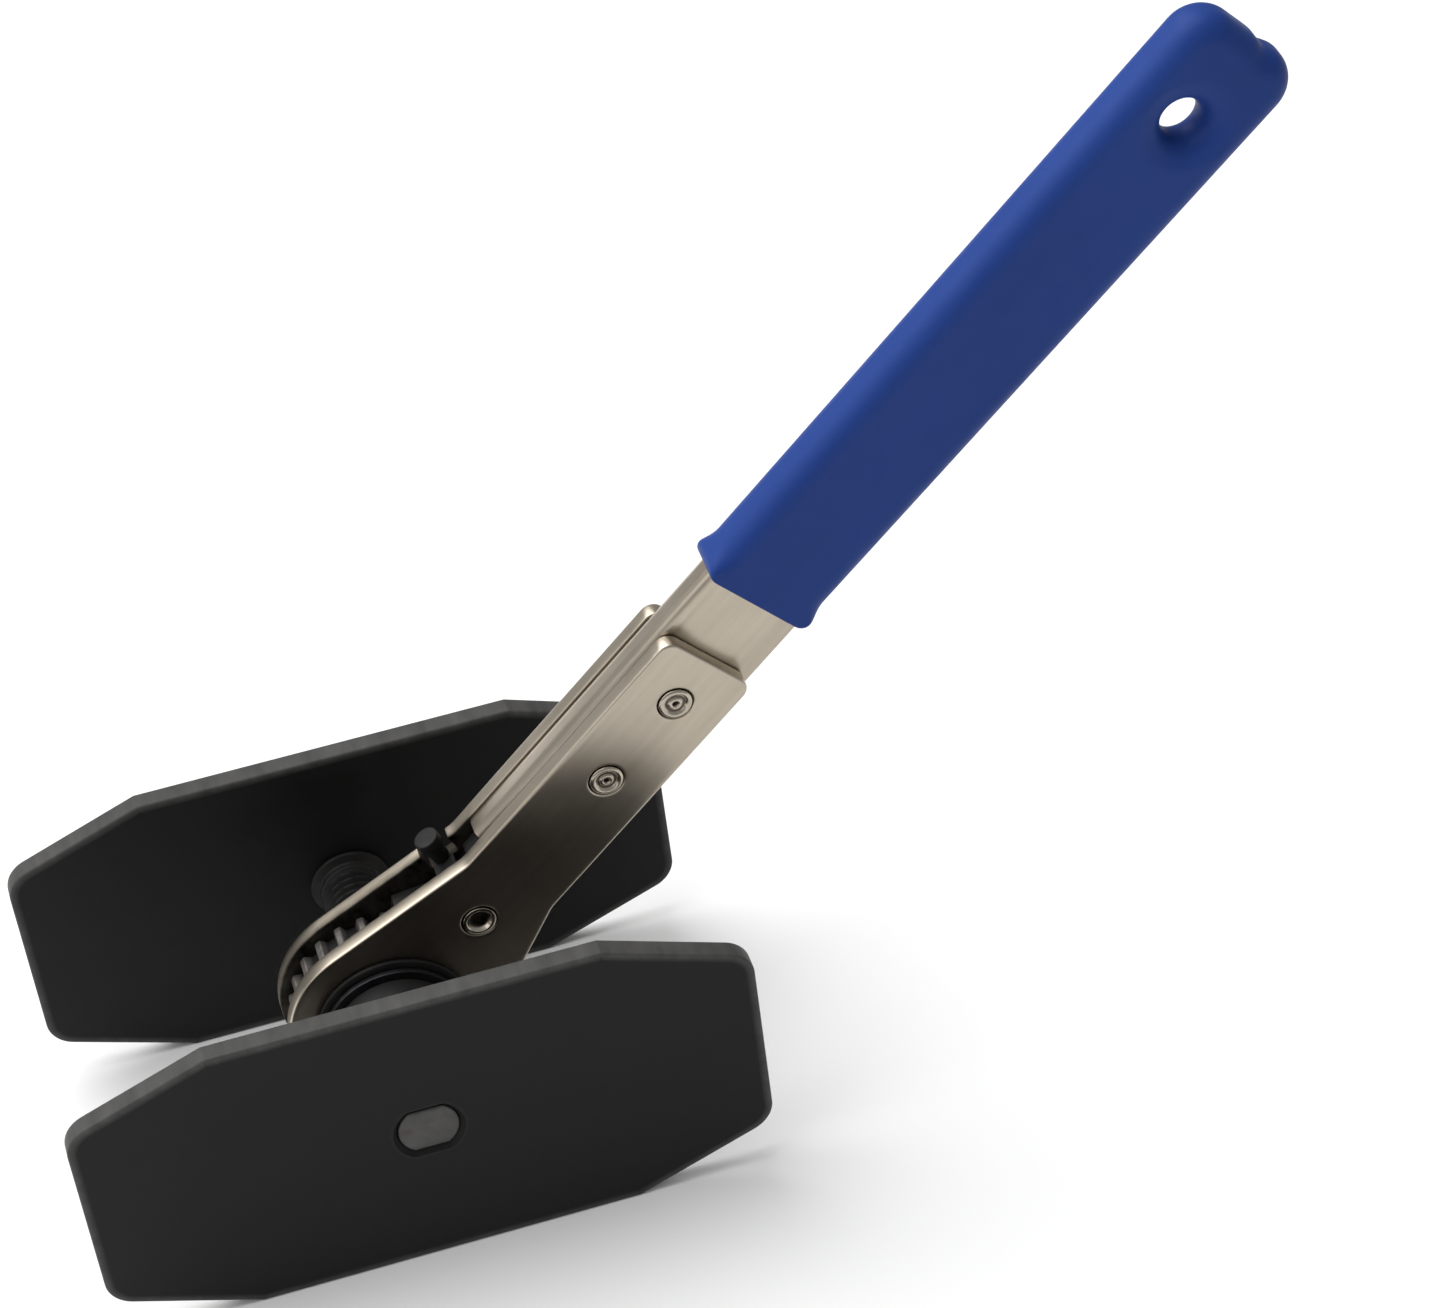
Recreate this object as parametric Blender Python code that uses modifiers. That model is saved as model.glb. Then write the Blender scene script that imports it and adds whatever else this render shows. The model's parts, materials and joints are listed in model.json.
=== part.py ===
"""Ratcheting piston press, modelled at rest with its two pressure plates wide open.

The tool stands on the long lower edges of its plates. X runs along the plates, Y along the
screws from the front plate to the back plate, and Z is up. The origin is the middle of the
front plate's lower edge. The handle turns about the screws' axis.
"""

import math

import bmesh
import bpy
from mathutils import Vector

# Driving dimensions, in metres and degrees.
CLEARANCE = 0.0003  # left between pieces that seat, turn or slide on each other

PLATE_LENGTH = 0.140
PLATE_HEIGHT = 0.0696
PLATE_THICKNESS = 0.0044
PLATE_LONG_EDGE = 0.080  # straight stretch of the upper and lower edges
PLATE_END_EDGE = 0.0466  # straight stretch of the two ends
PLATE_CORNER_RADIUS = 0.007
PLATE_EDGE_BEVEL = 0.0004

OPENING = 0.0741  # between the plates' inner faces at rest
SCREW_ENGAGEMENT = 0.009  # of each screw in the hub at rest

FRONT_SCREW_RADIUS = 0.010
BACK_SCREW_RADIUS = 0.007
BACK_SCREW_FLANGE_RADIUS = 0.0086
BACK_SCREW_FLANGE_THICKNESS = 0.0013
SCREW_END_CHAMFER = 0.0008
SPIGOT_RADIUS = 0.0063  # the flatted end of each screw, in its plate
SPIGOT_FLATS = 0.0104
SPIGOT_STEP = 0.0006  # depth of the spigot's face below the plate's face
COUNTERSINK = 0.0011  # width and depth of the chamfer round the spigot

HUB_RADIUS = 0.013
HUB_LENGTH = 0.036
HUB_CHAMFER = 0.0008
GEAR_TEETH = 24
GEAR_TIP_RADIUS = 0.0199
GEAR_ROOT_RADIUS = 0.0180
TOOTH_TIP_ANGLE = 2.0  # half the width of a tooth at its tip
TOOTH_ROOT_ANGLE = 4.6
GEAR_SIDE_CLEARANCE = 0.0004

CHEEK_GAP = 0.0074
CHEEK_THICKNESS = 0.0035
CHEEK_HEAD_RADIUS = 0.0216
CHEEK_TAPER = 15.5  # of each side of the head towards the strap
CHEEK_STRAP_WIDTH = 0.0232
CHEEK_END = 0.1038  # from the screws' axis
CHEEK_CORNER_RADIUS = 0.003
CHEEK_BEND_RADIUS = 0.008
CHEEK_EDGE_BEVEL = 0.0005
NOTCH_WIDTH = 0.0070  # of the selector's notch in the back cheek's tapering edge
NOTCH_DEPTH = 0.0041

WASHER_WIDTH = 0.0032  # beyond the hub
WASHER_THICKNESS = 0.001
RING_STAND = 0.0017  # beyond the hub
RING_THICKNESS = 0.0012
RING_GROOVE_DEPTH = 0.001
RING_OPENING_ANGLE = 34.0

HANDLE_ANGLE = 42.9  # of the handle above the plates' length
CHANNEL_START = 0.044
CHANNEL_END = 0.2620
CHANNEL_WIDTH = 0.0244
CHANNEL_WALL = 0.0015
CHANNEL_BEND_RADIUS = 0.0022

GRIP_START = 0.1185
GRIP_WALL = 0.0023
GRIP_END_WALL = 0.0043
GRIP_EDGE_RADIUS = 0.0042
GRIP_FAR_CORNER_RADIUS = 0.0075
GRIP_NEAR_CORNER_RADIUS = 0.0030
HANGING_HOLE_PLACE = 0.2458
HANGING_HOLE_RADIUS = 0.0040
HANGING_HOLE_WEB = 0.0060  # thickness of the grip round the hole
HANGING_HOLE_DISH = 0.0035  # how far the dished rim runs out round the hole

RIVET_PLACES = {"lower": 0.0705, "upper": 0.0925}
RIVET_RADIUS = 0.0028
RIVET_HEAD_RADIUS = 0.0039
RIVET_HEAD_HEIGHT = 0.0007
RIVET_DIMPLE_RADIUS = 0.0013
RIVET_DIMPLE_DEPTH = 0.0009
SPACER_RADIUS = 0.0046

PAWL_PIN_PLACE = 0.029
PAWL_PIN_RADIUS = 0.003
PAWL_PIN_HEAD_RADIUS = 0.0039
PAWL_PIN_HEAD_HEIGHT = 0.0005
PAWL_PIN_RECESS_RADIUS = 0.0025
PAWL_PIN_RECESS_DEPTH = 0.0012
PAWL_NOSE_REACH = 0.01578  # from the pawl's pin to the tip of each nose
PAWL_NOSE_ANGLE = 41.8  # of that line from the line between pin and gear
PAWL_NOSE_WIDTH = 0.0015
PAWL_NOSE_FLARES = (6.0, 18.0)  # of each nose's outer and inner side
PAWL_CAM_RADIUS = 0.0064  # to the ridge that the detent plunger rides over
PAWL_CAM_FALL = 0.0008  # of the flats each side of the ridge
PAWL_CAM_HALF_WIDTH = 0.0030
PAWL_BACK_CLEARANCE = 0.0023  # between the gear's tips and the hollow of the pawl
SELECTOR_LEAN = 20.5  # of the selector's stem up the handle
SELECTOR_ARM_WIDTH = 0.0048
SELECTOR_ARM_TOP = 0.0104
SELECTOR_OFFSET = 0.0040  # of the knob towards the back plate
SELECTOR_NECK_RADIUS = 0.0019
KNOB_RADIUS = 0.0027
KNOB_BOTTOM = 0.0151
KNOB_TOP = 0.0173
KNOB_CHAMFER = 0.0004

HOUSING_WIDTH = 0.017
PLUNGER_RADIUS = 0.0022
PLUNGER_LENGTH = 0.0036
PLUNGER_TRAVEL = 0.0008
HOUSING_FLOOR = 0.0009  # left behind the plunger's bore
SPRING_RADIUS = 0.0014
SPRING_WIRE_RADIUS = 0.00022
SPRING_TURNS = 4

ROUND_STEPS = 48
SMALL_STEPS = 24

# Places that follow from the sizes above.
SCREW_HEIGHT = PLATE_HEIGHT / 2
HEAD_MIDDLE = (PLATE_THICKNESS + OPENING) / 2
BACK_PLATE_MIDDLE = PLATE_THICKNESS + OPENING
HEAD_HALF = CHEEK_GAP / 2 + CHEEK_THICKNESS
SCREW_LENGTH = (OPENING - HUB_LENGTH) / 2 + SCREW_ENGAGEMENT
CLOSING_TRAVEL = (OPENING - HUB_LENGTH) / 2 - BACK_SCREW_FLANGE_THICKNESS - CLEARANCE
WASHER_RADIUS = HUB_RADIUS + WASHER_WIDTH
RING_RADIUS = HUB_RADIUS + RING_STAND
GEAR_THICKNESS = CHEEK_GAP - 2 * GEAR_SIDE_CLEARANCE
CHANNEL_DEPTH = CHEEK_GAP - 2 * CLEARANCE
CHANNEL_INSIDE = CHANNEL_DEPTH - 2 * CHANNEL_WALL
HANGING_HOLE_SEAT = HANGING_HOLE_RADIUS + HANGING_HOLE_DISH
WASHER_PLACE = HEAD_HALF + CLEARANCE + WASHER_THICKNESS / 2
RING_PLACE = HEAD_HALF + 2 * CLEARANCE + WASHER_THICKNESS + RING_THICKNESS / 2
PLUNGER_TIP = PAWL_PIN_PLACE + PAWL_CAM_RADIUS + CLEARANCE
HOUSING_START = PLUNGER_TIP + PLUNGER_TRAVEL + 2 * CLEARANCE
HOUSING_END = CHANNEL_START - CLEARANCE

OBJECT_NAME = "ratcheting_piston_press"


def clear_scene():
    for obj in list(bpy.data.objects):
        bpy.data.objects.remove(obj, do_unlink=True)


def new_collection(name):
    collection = bpy.data.collections.new(name)
    bpy.context.scene.collection.children.link(collection)
    return collection


def new_empty(name, collection, location, rotation=(0, 0, 0), parent=None):
    empty = bpy.data.objects.new(name, None)
    empty.location = location
    empty.rotation_euler = rotation
    empty.parent = parent
    collection.objects.link(empty)
    return empty


def material(name, color, roughness, metallic):
    found = bpy.data.materials.new(name)
    found.use_nodes = True
    shader = found.node_tree.nodes["Principled BSDF"]
    shader.inputs["Base Color"].default_value = (*color, 1)
    shader.inputs["Roughness"].default_value = roughness
    shader.inputs["Metallic"].default_value = metallic
    return found


def mesh_object(name, mesh, collection, parent=None, location=(0, 0, 0), rotation=(0, 0, 0)):
    obj = bpy.data.objects.new(name, mesh)
    obj.parent = parent
    obj.location = location
    obj.rotation_euler = rotation
    collection.objects.link(obj)
    return obj


def finish(obj, surface):
    obj.data.materials.append(surface)
    obj.data.shade_smooth()
    obj.data.set_sharp_from_angle(angle=math.radians(35))
    return obj


def arc(centre, radius, start, end, steps):
    """Points along an arc, from one angle to another in degrees."""
    turn = [math.radians(start + (end - start) * i / steps) for i in range(steps + 1)]
    return [(centre[0] + radius * math.cos(a), centre[1] + radius * math.sin(a)) for a in turn]


def circle(centre, radius, steps=ROUND_STEPS):
    return arc(centre, radius, 0, 360, steps)[:-1]


def rounded(corners, steps=5):
    """An outline from (x, y, radius) corners, each turned by an arc of its radius."""
    outline = []
    for i, (x, y, radius) in enumerate(corners):
        corner = Vector((x, y))
        if radius == 0:
            outline.append((x, y))
            continue
        before = (Vector(corners[i - 1][:2]) - corner).normalized()
        after = (Vector(corners[(i + 1) % len(corners)][:2]) - corner).normalized()
        half = before.angle(after) / 2
        centre = corner + (before + after).normalized() * (radius / math.sin(half))
        first = corner + before * (radius / math.tan(half)) - centre
        turn = (corner + after * (radius / math.tan(half)) - centre).angle_signed(first)
        start = math.atan2(first.y, first.x)
        outline += arc(centre, radius, math.degrees(start), math.degrees(start + turn), steps)
    return outline


def slab(name, outlines, thickness, collection, **place):
    """A flat piece: the first outline filled, less the others, thick along its own Z."""
    curve = bpy.data.curves.new(name, "CURVE")
    curve.dimensions = "2D"
    curve.fill_mode = "BOTH"
    curve.extrude = thickness / 2
    for outline in outlines:
        spline = curve.splines.new("POLY")
        spline.points.add(len(outline) - 1)
        for point, (x, y) in zip(spline.points, outline):
            point.co = (x, y, 0, 1)
        spline.use_cyclic_u = True
    return curve_to_mesh(name, curve, collection, **place)


def curve_to_mesh(name, curve, collection, **place):
    drawn = mesh_object(name + "_curve", curve, collection)
    bpy.context.view_layer.update()
    graph = bpy.context.evaluated_depsgraph_get()
    mesh = bpy.data.meshes.new_from_object(drawn.evaluated_get(graph))
    bpy.data.objects.remove(drawn, do_unlink=True)
    work = bmesh.new()
    work.from_mesh(mesh)
    bmesh.ops.remove_doubles(work, verts=work.verts, dist=1e-6)
    bmesh.ops.recalc_face_normals(work, faces=work.faces)
    work.to_mesh(mesh)
    work.free()
    mesh.name = name
    return mesh_object(name, mesh, collection, **place)


def turned(name, profile, collection, closed=False, steps=ROUND_STEPS, **place):
    """A turned piece about its own Z: (radius, height) points, outer side from top to bottom."""
    mesh = bpy.data.meshes.new(name)
    count = len(profile)
    edges = [(i, i + 1) for i in range(count - 1)]
    if closed:
        edges.append((count - 1, 0))
    mesh.from_pydata([(r, 0, z) for r, z in profile], edges, [])
    obj = mesh_object(name, mesh, collection, **place)
    screw = obj.modifiers.new("turn", "SCREW")
    screw.steps = steps
    screw.render_steps = steps
    screw.use_merge_vertices = True
    screw.merge_threshold = 1e-6
    return obj


def bevel(obj, width, segments=2):
    modifier = obj.modifiers.new("edges", "BEVEL")
    modifier.width = width
    modifier.segments = segments
    modifier.limit_method = "ANGLE"
    modifier.angle_limit = math.radians(50)
    modifier.use_clamp_overlap = True


def combine(obj, other, operation):
    """Join, or cut, with another object, which becomes a helper."""
    modifier = obj.modifiers.new(operation.lower(), "BOOLEAN")
    modifier.operation = operation
    modifier.object = other
    other.hide_render = True
    other.display_type = "WIRE"


FLAT = (math.radians(90), 0, 0)  # turns a slab to face along Y, its outline in X and Z
ALONG_Y = (math.radians(-90), 0, 0)  # turns a turned piece's axis to Y
ALONG_X = (0, math.radians(90), 0)


def plate_outline():
    half, end = PLATE_LENGTH / 2, PLATE_END_EDGE / 2
    edge, top = PLATE_LONG_EDGE / 2, PLATE_HEIGHT / 2
    round_end = PLATE_CORNER_RADIUS
    return rounded([
        (-edge, -top, 0), (edge, -top, 0), (half, -end, round_end), (half, end, round_end),
        (edge, top, 0), (-edge, top, 0), (-half, end, round_end), (-half, -end, round_end),
    ])


def flatted(radius, flats):
    """The outline of a round bar with two flats, above and below."""
    lean = math.degrees(math.asin(flats / 2 / radius))
    return arc((0, 0), radius, -lean, lean, 12) + arc((0, 0), radius, 180 - lean, 180 + lean, 12)


def make_plate(name, middle, outward, parts, cutters, surface):
    """A pressure plate; outward is -1 where its outer face looks to -Y, else 1."""
    hole = flatted(SPIGOT_RADIUS + CLEARANCE, SPIGOT_FLATS + 2 * CLEARANCE)
    place = dict(location=(0, middle, SCREW_HEIGHT), rotation=FLAT)
    plate = slab(name, [plate_outline(), hole], PLATE_THICKNESS, parts, **place)
    bevel(plate, PLATE_EDGE_BEVEL, 1)
    inside = SPIGOT_RADIUS - COUNTERSINK / 2
    face = outward * PLATE_THICKNESS / 2
    reach = 2 * COUNTERSINK
    cone = turned(
        name + "_countersink",
        [(0, reach), (inside + COUNTERSINK + reach, reach), (inside, -COUNTERSINK), (0, -COUNTERSINK)],
        cutters,
        location=(0, middle + face, SCREW_HEIGHT),
        rotation=(math.radians(-90 * outward), 0, 0),
    )
    combine(plate, cone, "DIFFERENCE")
    return finish(plate, surface)


def make_screw(name, inner_face, inward, profile, parts, cutters, surface):
    """A screw seated on a plate's inner face; inward is 1 where it points to +Y, else -1."""
    turn = (math.radians(-90 * inward), 0, 0)
    screw = turned(name, profile, parts, location=(0, inner_face, SCREW_HEIGHT), rotation=turn)
    reach = PLATE_THICKNESS - SPIGOT_STEP
    root = 2 * SPIGOT_STEP + CLEARANCE  # overlap of the spigot with the screw's body
    spigot = slab(
        name + "_spigot",
        [flatted(SPIGOT_RADIUS, SPIGOT_FLATS)],
        reach + root,
        cutters,
        location=(0, inner_face - inward * (reach - root) / 2, SCREW_HEIGHT),
        rotation=FLAT,
    )
    combine(screw, spigot, "UNION")
    return finish(screw, surface)


def front_screw_profile():
    """A tube with a closed end at the plate, bored to take the back screw's end."""
    bore = BACK_SCREW_RADIUS + 2 * CLEARANCE
    depth = 2 * CLOSING_TRAVEL - (HUB_LENGTH - 2 * SCREW_ENGAGEMENT) + 4 * CLEARANCE
    chamfer = SCREW_END_CHAMFER
    return [
        (0, SCREW_LENGTH - depth), (bore, SCREW_LENGTH - depth), (bore, SCREW_LENGTH),
        (FRONT_SCREW_RADIUS - chamfer, SCREW_LENGTH), (FRONT_SCREW_RADIUS, SCREW_LENGTH - chamfer),
        (FRONT_SCREW_RADIUS, CLEARANCE), (0, CLEARANCE),
    ]


def back_screw_profile():
    chamfer = SCREW_END_CHAMFER
    flange = BACK_SCREW_FLANGE_THICKNESS
    return [
        (0, SCREW_LENGTH), (BACK_SCREW_RADIUS - chamfer, SCREW_LENGTH),
        (BACK_SCREW_RADIUS, SCREW_LENGTH - chamfer), (BACK_SCREW_RADIUS, flange),
        (BACK_SCREW_FLANGE_RADIUS - CLEARANCE, flange),
        (BACK_SCREW_FLANGE_RADIUS, flange - CLEARANCE),
        (BACK_SCREW_FLANGE_RADIUS, CLEARANCE), (0, CLEARANCE),
    ]


def hub_profile():
    """The gear's hub: a wide bore for the front screw, and behind it a nut for the back screw."""
    half = HUB_LENGTH / 2
    wide = FRONT_SCREW_RADIUS + CLEARANCE
    narrow = BACK_SCREW_RADIUS + CLEARANCE
    step = -half + SCREW_ENGAGEMENT + CLOSING_TRAVEL + 2 * CLEARANCE
    groove_half = RING_THICKNESS / 2 + CLEARANCE
    floor = HUB_RADIUS - RING_GROOVE_DEPTH

    def groove(place):
        return [
            (HUB_RADIUS, place + groove_half), (floor, place + groove_half),
            (floor, place - groove_half), (HUB_RADIUS, place - groove_half),
        ]

    outer = [(HUB_RADIUS - HUB_CHAMFER, half), (HUB_RADIUS, half - HUB_CHAMFER)]
    outer += groove(RING_PLACE) + groove(-RING_PLACE)
    outer += [(HUB_RADIUS, -half + HUB_CHAMFER), (HUB_RADIUS - HUB_CHAMFER, -half)]
    return outer + [(wide, -half), (wide, step), (narrow, step), (narrow, half)]


def tooth_outline():
    """The gear's rim: straight-sided teeth, with a gap centred on the handle's line."""
    tip, root = GEAR_TIP_RADIUS, GEAR_ROOT_RADIUS
    rise = ((root, -TOOTH_ROOT_ANGLE), (tip, -TOOTH_TIP_ANGLE))
    fall = ((tip, TOOTH_TIP_ANGLE), (root, TOOTH_ROOT_ANGLE))
    outline = []
    for tooth in range(GEAR_TEETH):
        middle = (tooth + 0.5) * 360 / GEAR_TEETH
        for radius, turn in rise + fall:
            angle = math.radians(middle + turn)
            outline.append((radius * math.cos(angle), radius * math.sin(angle)))
    return outline


def make_gear(parts, cutters, pivot, surface):
    gear = turned("ratchet_gear", hub_profile(), parts, closed=True, parent=pivot, rotation=ALONG_Y)
    overlap = RING_GROOVE_DEPTH
    rim = slab(
        "gear_rim",
        [tooth_outline(), circle((0, 0), HUB_RADIUS - overlap)],
        GEAR_THICKNESS,
        cutters,
        parent=pivot,
        rotation=FLAT,
    )
    combine(gear, rim, "UNION")
    return finish(gear, surface)


def make_hub_washer(name, side, parts, pivot, surface):
    inner = HUB_RADIUS + CLEARANCE
    half = WASHER_THICKNESS / 2
    profile = [(WASHER_RADIUS, half), (WASHER_RADIUS, -half), (inner, -half), (inner, half)]
    place = dict(parent=pivot, location=(0, side * WASHER_PLACE, 0), rotation=ALONG_Y)
    return finish(turned(name, profile, parts, closed=True, **place), surface)


def make_retaining_ring(name, side, parts, pivot, surface):
    """A flat ring with an opening, sprung into the hub's groove."""
    inner = HUB_RADIUS - RING_GROOVE_DEPTH + CLEARANCE
    first, last = -90 + RING_OPENING_ANGLE / 2, 270 - RING_OPENING_ANGLE / 2
    outline = arc((0, 0), RING_RADIUS, first, last, 40) + arc((0, 0), inner, last, first, 40)
    place = dict(parent=pivot, location=(0, side * RING_PLACE, 0), rotation=FLAT)
    return finish(slab(name, [outline], RING_THICKNESS, parts, **place), surface)


def notch_corners():
    """The selector's notch, square to the tapering edge where the selector's stem crosses it."""
    lean, stem = math.radians(CHEEK_TAPER), math.radians(SELECTOR_LEAN)
    to_edge = CHEEK_HEAD_RADIUS - PAWL_PIN_PLACE * math.sin(lean)
    reach = to_edge / math.cos(stem - lean)
    crossing = Vector((PAWL_PIN_PLACE + reach * math.sin(stem), reach * math.cos(stem)))
    along = Vector((math.cos(lean), -math.sin(lean))) * NOTCH_WIDTH / 2
    down = Vector((math.sin(lean), math.cos(lean))) * -NOTCH_DEPTH
    return [crossing + along, crossing + along + down, crossing - along + down, crossing - along]


def cheek_outline(notched):
    """Head, tapering sides and strap, with the handle's line along X."""
    head = CHEEK_HEAD_RADIUS
    strap = CHEEK_STRAP_WIDTH / 2
    lean = math.radians(CHEEK_TAPER)
    leave = (head * math.sin(lean), head * math.cos(lean))
    bend = leave[0] + (leave[1] - strap) / math.tan(lean)
    head_arc = arc((0, 0), head, 90 - CHEEK_TAPER, 270 + CHEEK_TAPER, 30)
    corners = [(x, y, 0) for x, y in head_arc]
    corners += [
        (bend, -strap, CHEEK_BEND_RADIUS),
        (CHEEK_END, -strap, CHEEK_CORNER_RADIUS),
        (CHEEK_END, strap, CHEEK_CORNER_RADIUS),
        (bend, strap, CHEEK_BEND_RADIUS),
    ]
    if notched:
        corners += [(x, y, 0) for x, y in notch_corners()]
    return rounded(corners)


def make_cheek(name, side, parts, pivot, surface):
    holes = [circle((0, 0), HUB_RADIUS + CLEARANCE)]
    holes.append(circle((PAWL_PIN_PLACE, 0), PAWL_PIN_RADIUS + CLEARANCE, SMALL_STEPS))
    for place in RIVET_PLACES.values():
        holes.append(circle((place, 0), RIVET_RADIUS + CLEARANCE, SMALL_STEPS))
    middle = side * (CHEEK_GAP + CHEEK_THICKNESS) / 2
    cheek = slab(
        name,
        [cheek_outline(notched=side > 0), *holes],
        CHEEK_THICKNESS,
        parts,
        parent=pivot,
        location=(0, middle, 0),
        rotation=FLAT,
    )
    bevel(cheek, CHEEK_EDGE_BEVEL, 1)
    return finish(cheek, surface)


def bore_cutter(name, radius, place, steps, cutters, pivot):
    """A cylinder across the handle, at a distance from the screws' axis."""
    reach = CHEEK_GAP
    profile = [(0, reach), (radius, reach), (radius, -reach), (0, -reach)]
    drill = dict(steps=steps, parent=pivot, location=(place, 0, 0), rotation=ALONG_Y)
    return turned(name, profile, cutters, **drill)


def make_channel(parts, cutters, pivot, surface):
    """A folded strip: a web on the handle's upper side and a flange down each face."""
    half_width, half_depth = CHANNEL_WIDTH / 2, CHANNEL_DEPTH / 2
    bend = CHANNEL_BEND_RADIUS
    section = [(-half_depth, -half_width)]
    section += arc((-half_depth + bend, half_width - bend), bend, 180, 90, 5)
    section += arc((half_depth - bend, half_width - bend), bend, 90, 0, 5)
    section += [(half_depth, -half_width)]
    mesh = bpy.data.meshes.new("handle_channel")
    points = [(x, y, z) for x in (CHANNEL_START, CHANNEL_END) for y, z in section]
    count = len(section)
    faces = [(i, i + count, i + count + 1, i + 1) for i in range(count - 1)]
    mesh.from_pydata(points, [], faces)
    channel = mesh_object("handle_channel", mesh, parts, parent=pivot)
    wall = channel.modifiers.new("wall", "SOLIDIFY")
    wall.thickness = CHANNEL_WALL
    wall.offset = -1
    wall.use_even_offset = True
    for name, place in RIVET_PLACES.items():
        drill = bore_cutter(
            name + "_rivet_drill", RIVET_RADIUS + CLEARANCE, place, SMALL_STEPS, cutters, pivot
        )
        combine(channel, drill, "DIFFERENCE")
    seat = HANGING_HOLE_SEAT + CLEARANCE
    punch = bore_cutter("hanging_hole_punch", seat, HANGING_HOLE_PLACE, ROUND_STEPS, cutters, pivot)
    combine(channel, punch, "DIFFERENCE")
    return finish(channel, surface)


def make_grip(parts, cutters, pivot, surface):
    """A dipped sleeve, closed at the far end and dished round its hanging hole."""
    half_width = CHANNEL_WIDTH / 2 + GRIP_WALL
    depth = CHANNEL_DEPTH + 2 * GRIP_WALL
    end = CHANNEL_END + GRIP_END_WALL
    near, far = GRIP_NEAR_CORNER_RADIUS, GRIP_FAR_CORNER_RADIUS
    corners = [
        (GRIP_START, -half_width, near), (end, -half_width, far),
        (end, half_width, far), (GRIP_START, half_width, near),
    ]
    grip = slab("handle_grip", [rounded(corners, 8)], depth, parts, parent=pivot, rotation=FLAT)
    bevel(grip, min(GRIP_EDGE_RADIUS, depth / 2 - CLEARANCE), 4)
    inside = CHANNEL_WIDTH / 2 + CLEARANCE
    start, stop = GRIP_START - GRIP_WALL, CHANNEL_END + CLEARANCE
    seat = HANGING_HOLE_SEAT
    hollow = [(start, -inside), (stop, -inside), (stop, inside), (start, inside)]
    pocket = slab(
        "grip_pocket",
        [hollow, circle((HANGING_HOLE_PLACE, 0), seat)],
        CHANNEL_DEPTH + 2 * CLEARANCE,
        cutters,
        parent=pivot,
        rotation=FLAT,
    )
    combine(grip, pocket, "DIFFERENCE")
    half_web, reach = HANGING_HOLE_WEB / 2, depth
    face = depth / 2
    rim = HANGING_HOLE_RADIUS + HANGING_HOLE_DISH
    profile = [
        (0, reach), (rim + reach - face, reach), (rim, face), (HANGING_HOLE_RADIUS, half_web),
        (HANGING_HOLE_RADIUS, -half_web), (rim, -face), (rim + reach - face, -reach), (0, -reach),
    ]
    dish = dict(parent=pivot, location=(HANGING_HOLE_PLACE, 0, 0), rotation=ALONG_Y)
    combine(grip, turned("grip_dish", profile, cutters, **dish), "DIFFERENCE")
    return finish(grip, surface)


def make_rivet(name, place, radius, head, dimple, parts, pivot, surface):
    """A headed pin through both cheeks; head and dimple are (radius, height) pairs."""
    top = HEAD_HALF + CLEARANCE + head[1]
    seat = HEAD_HALF + CLEARANCE
    side = [
        (0, top - dimple[1]), (dimple[0], top - dimple[1] / 2), (dimple[0], top),
        (head[0] - head[1] / 2, top), (head[0], seat + head[1] / 2), (head[0], seat), (radius, seat),
    ]
    profile = side + [(r, -z) for r, z in reversed(side)]
    pin = turned(
        name, profile, parts, steps=SMALL_STEPS, parent=pivot, location=(place, 0, 0), rotation=ALONG_Y
    )
    return finish(pin, surface)


def make_spacer(name, place, parts, pivot, surface):
    """A tube on a rivet, between the channel's flanges."""
    half = CHANNEL_INSIDE / 2 - CLEARANCE
    bore = RIVET_RADIUS + CLEARANCE
    profile = [(SPACER_RADIUS, half), (SPACER_RADIUS, -half), (bore, -half), (bore, half)]
    place = dict(steps=SMALL_STEPS, parent=pivot, location=(place, 0, 0), rotation=ALONG_Y)
    return finish(turned(name, profile, parts, closed=True, **place), surface)


def pawl_nose():
    """The upper nose, about the pawl's pin: outer root, two tip corners and inner root."""
    lean = math.radians(PAWL_NOSE_ANGLE)
    tip = Vector((-math.cos(lean), math.sin(lean))) * PAWL_NOSE_REACH
    away = (tip + Vector((PAWL_PIN_PLACE, 0))).normalized()
    across = Vector((-away.y, away.x))
    outer = tip + across * PAWL_NOSE_WIDTH / 2
    inner = tip - across * PAWL_NOSE_WIDTH / 2
    height = 2 * (GEAR_TIP_RADIUS - GEAR_ROOT_RADIUS)
    outer_flare, inner_flare = (math.tan(math.radians(angle)) for angle in PAWL_NOSE_FLARES)
    return [
        outer + (away + across * outer_flare) * height,
        outer,
        inner,
        inner + (away - across * inner_flare) * height / 2,
    ]


def pawl_outline():
    """A rocker with a nose each side of the handle's line, a ridged back and the selector's arm."""
    nose = pawl_nose()
    hollow_radius = GEAR_TIP_RADIUS + PAWL_BACK_CLEARANCE
    spread = math.degrees(math.atan2(nose[3].y, PAWL_PIN_PLACE + nose[3].x)) - 2
    hollow = arc((-PAWL_PIN_PLACE, 0), hollow_radius, spread, -spread, 8)
    back = PAWL_CAM_RADIUS - PAWL_CAM_FALL
    cam = [(back, -PAWL_CAM_HALF_WIDTH), (PAWL_CAM_RADIUS, 0), (back, PAWL_CAM_HALF_WIDTH)]
    lean = math.radians(SELECTOR_LEAN)
    stem = Vector((math.sin(lean), math.cos(lean)))
    side = Vector((stem.y, -stem.x)) * SELECTOR_ARM_WIDTH / 2
    arm = [
        stem * PAWL_CAM_RADIUS + side, stem * SELECTOR_ARM_TOP + side,
        stem * SELECTOR_ARM_TOP - side, stem * PAWL_CAM_RADIUS - side,
    ]
    lower = [(p.x, -p.y) for p in reversed(nose)]
    return [tuple(p) for p in nose] + hollow + lower + cam + [tuple(p) for p in arm]


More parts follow.
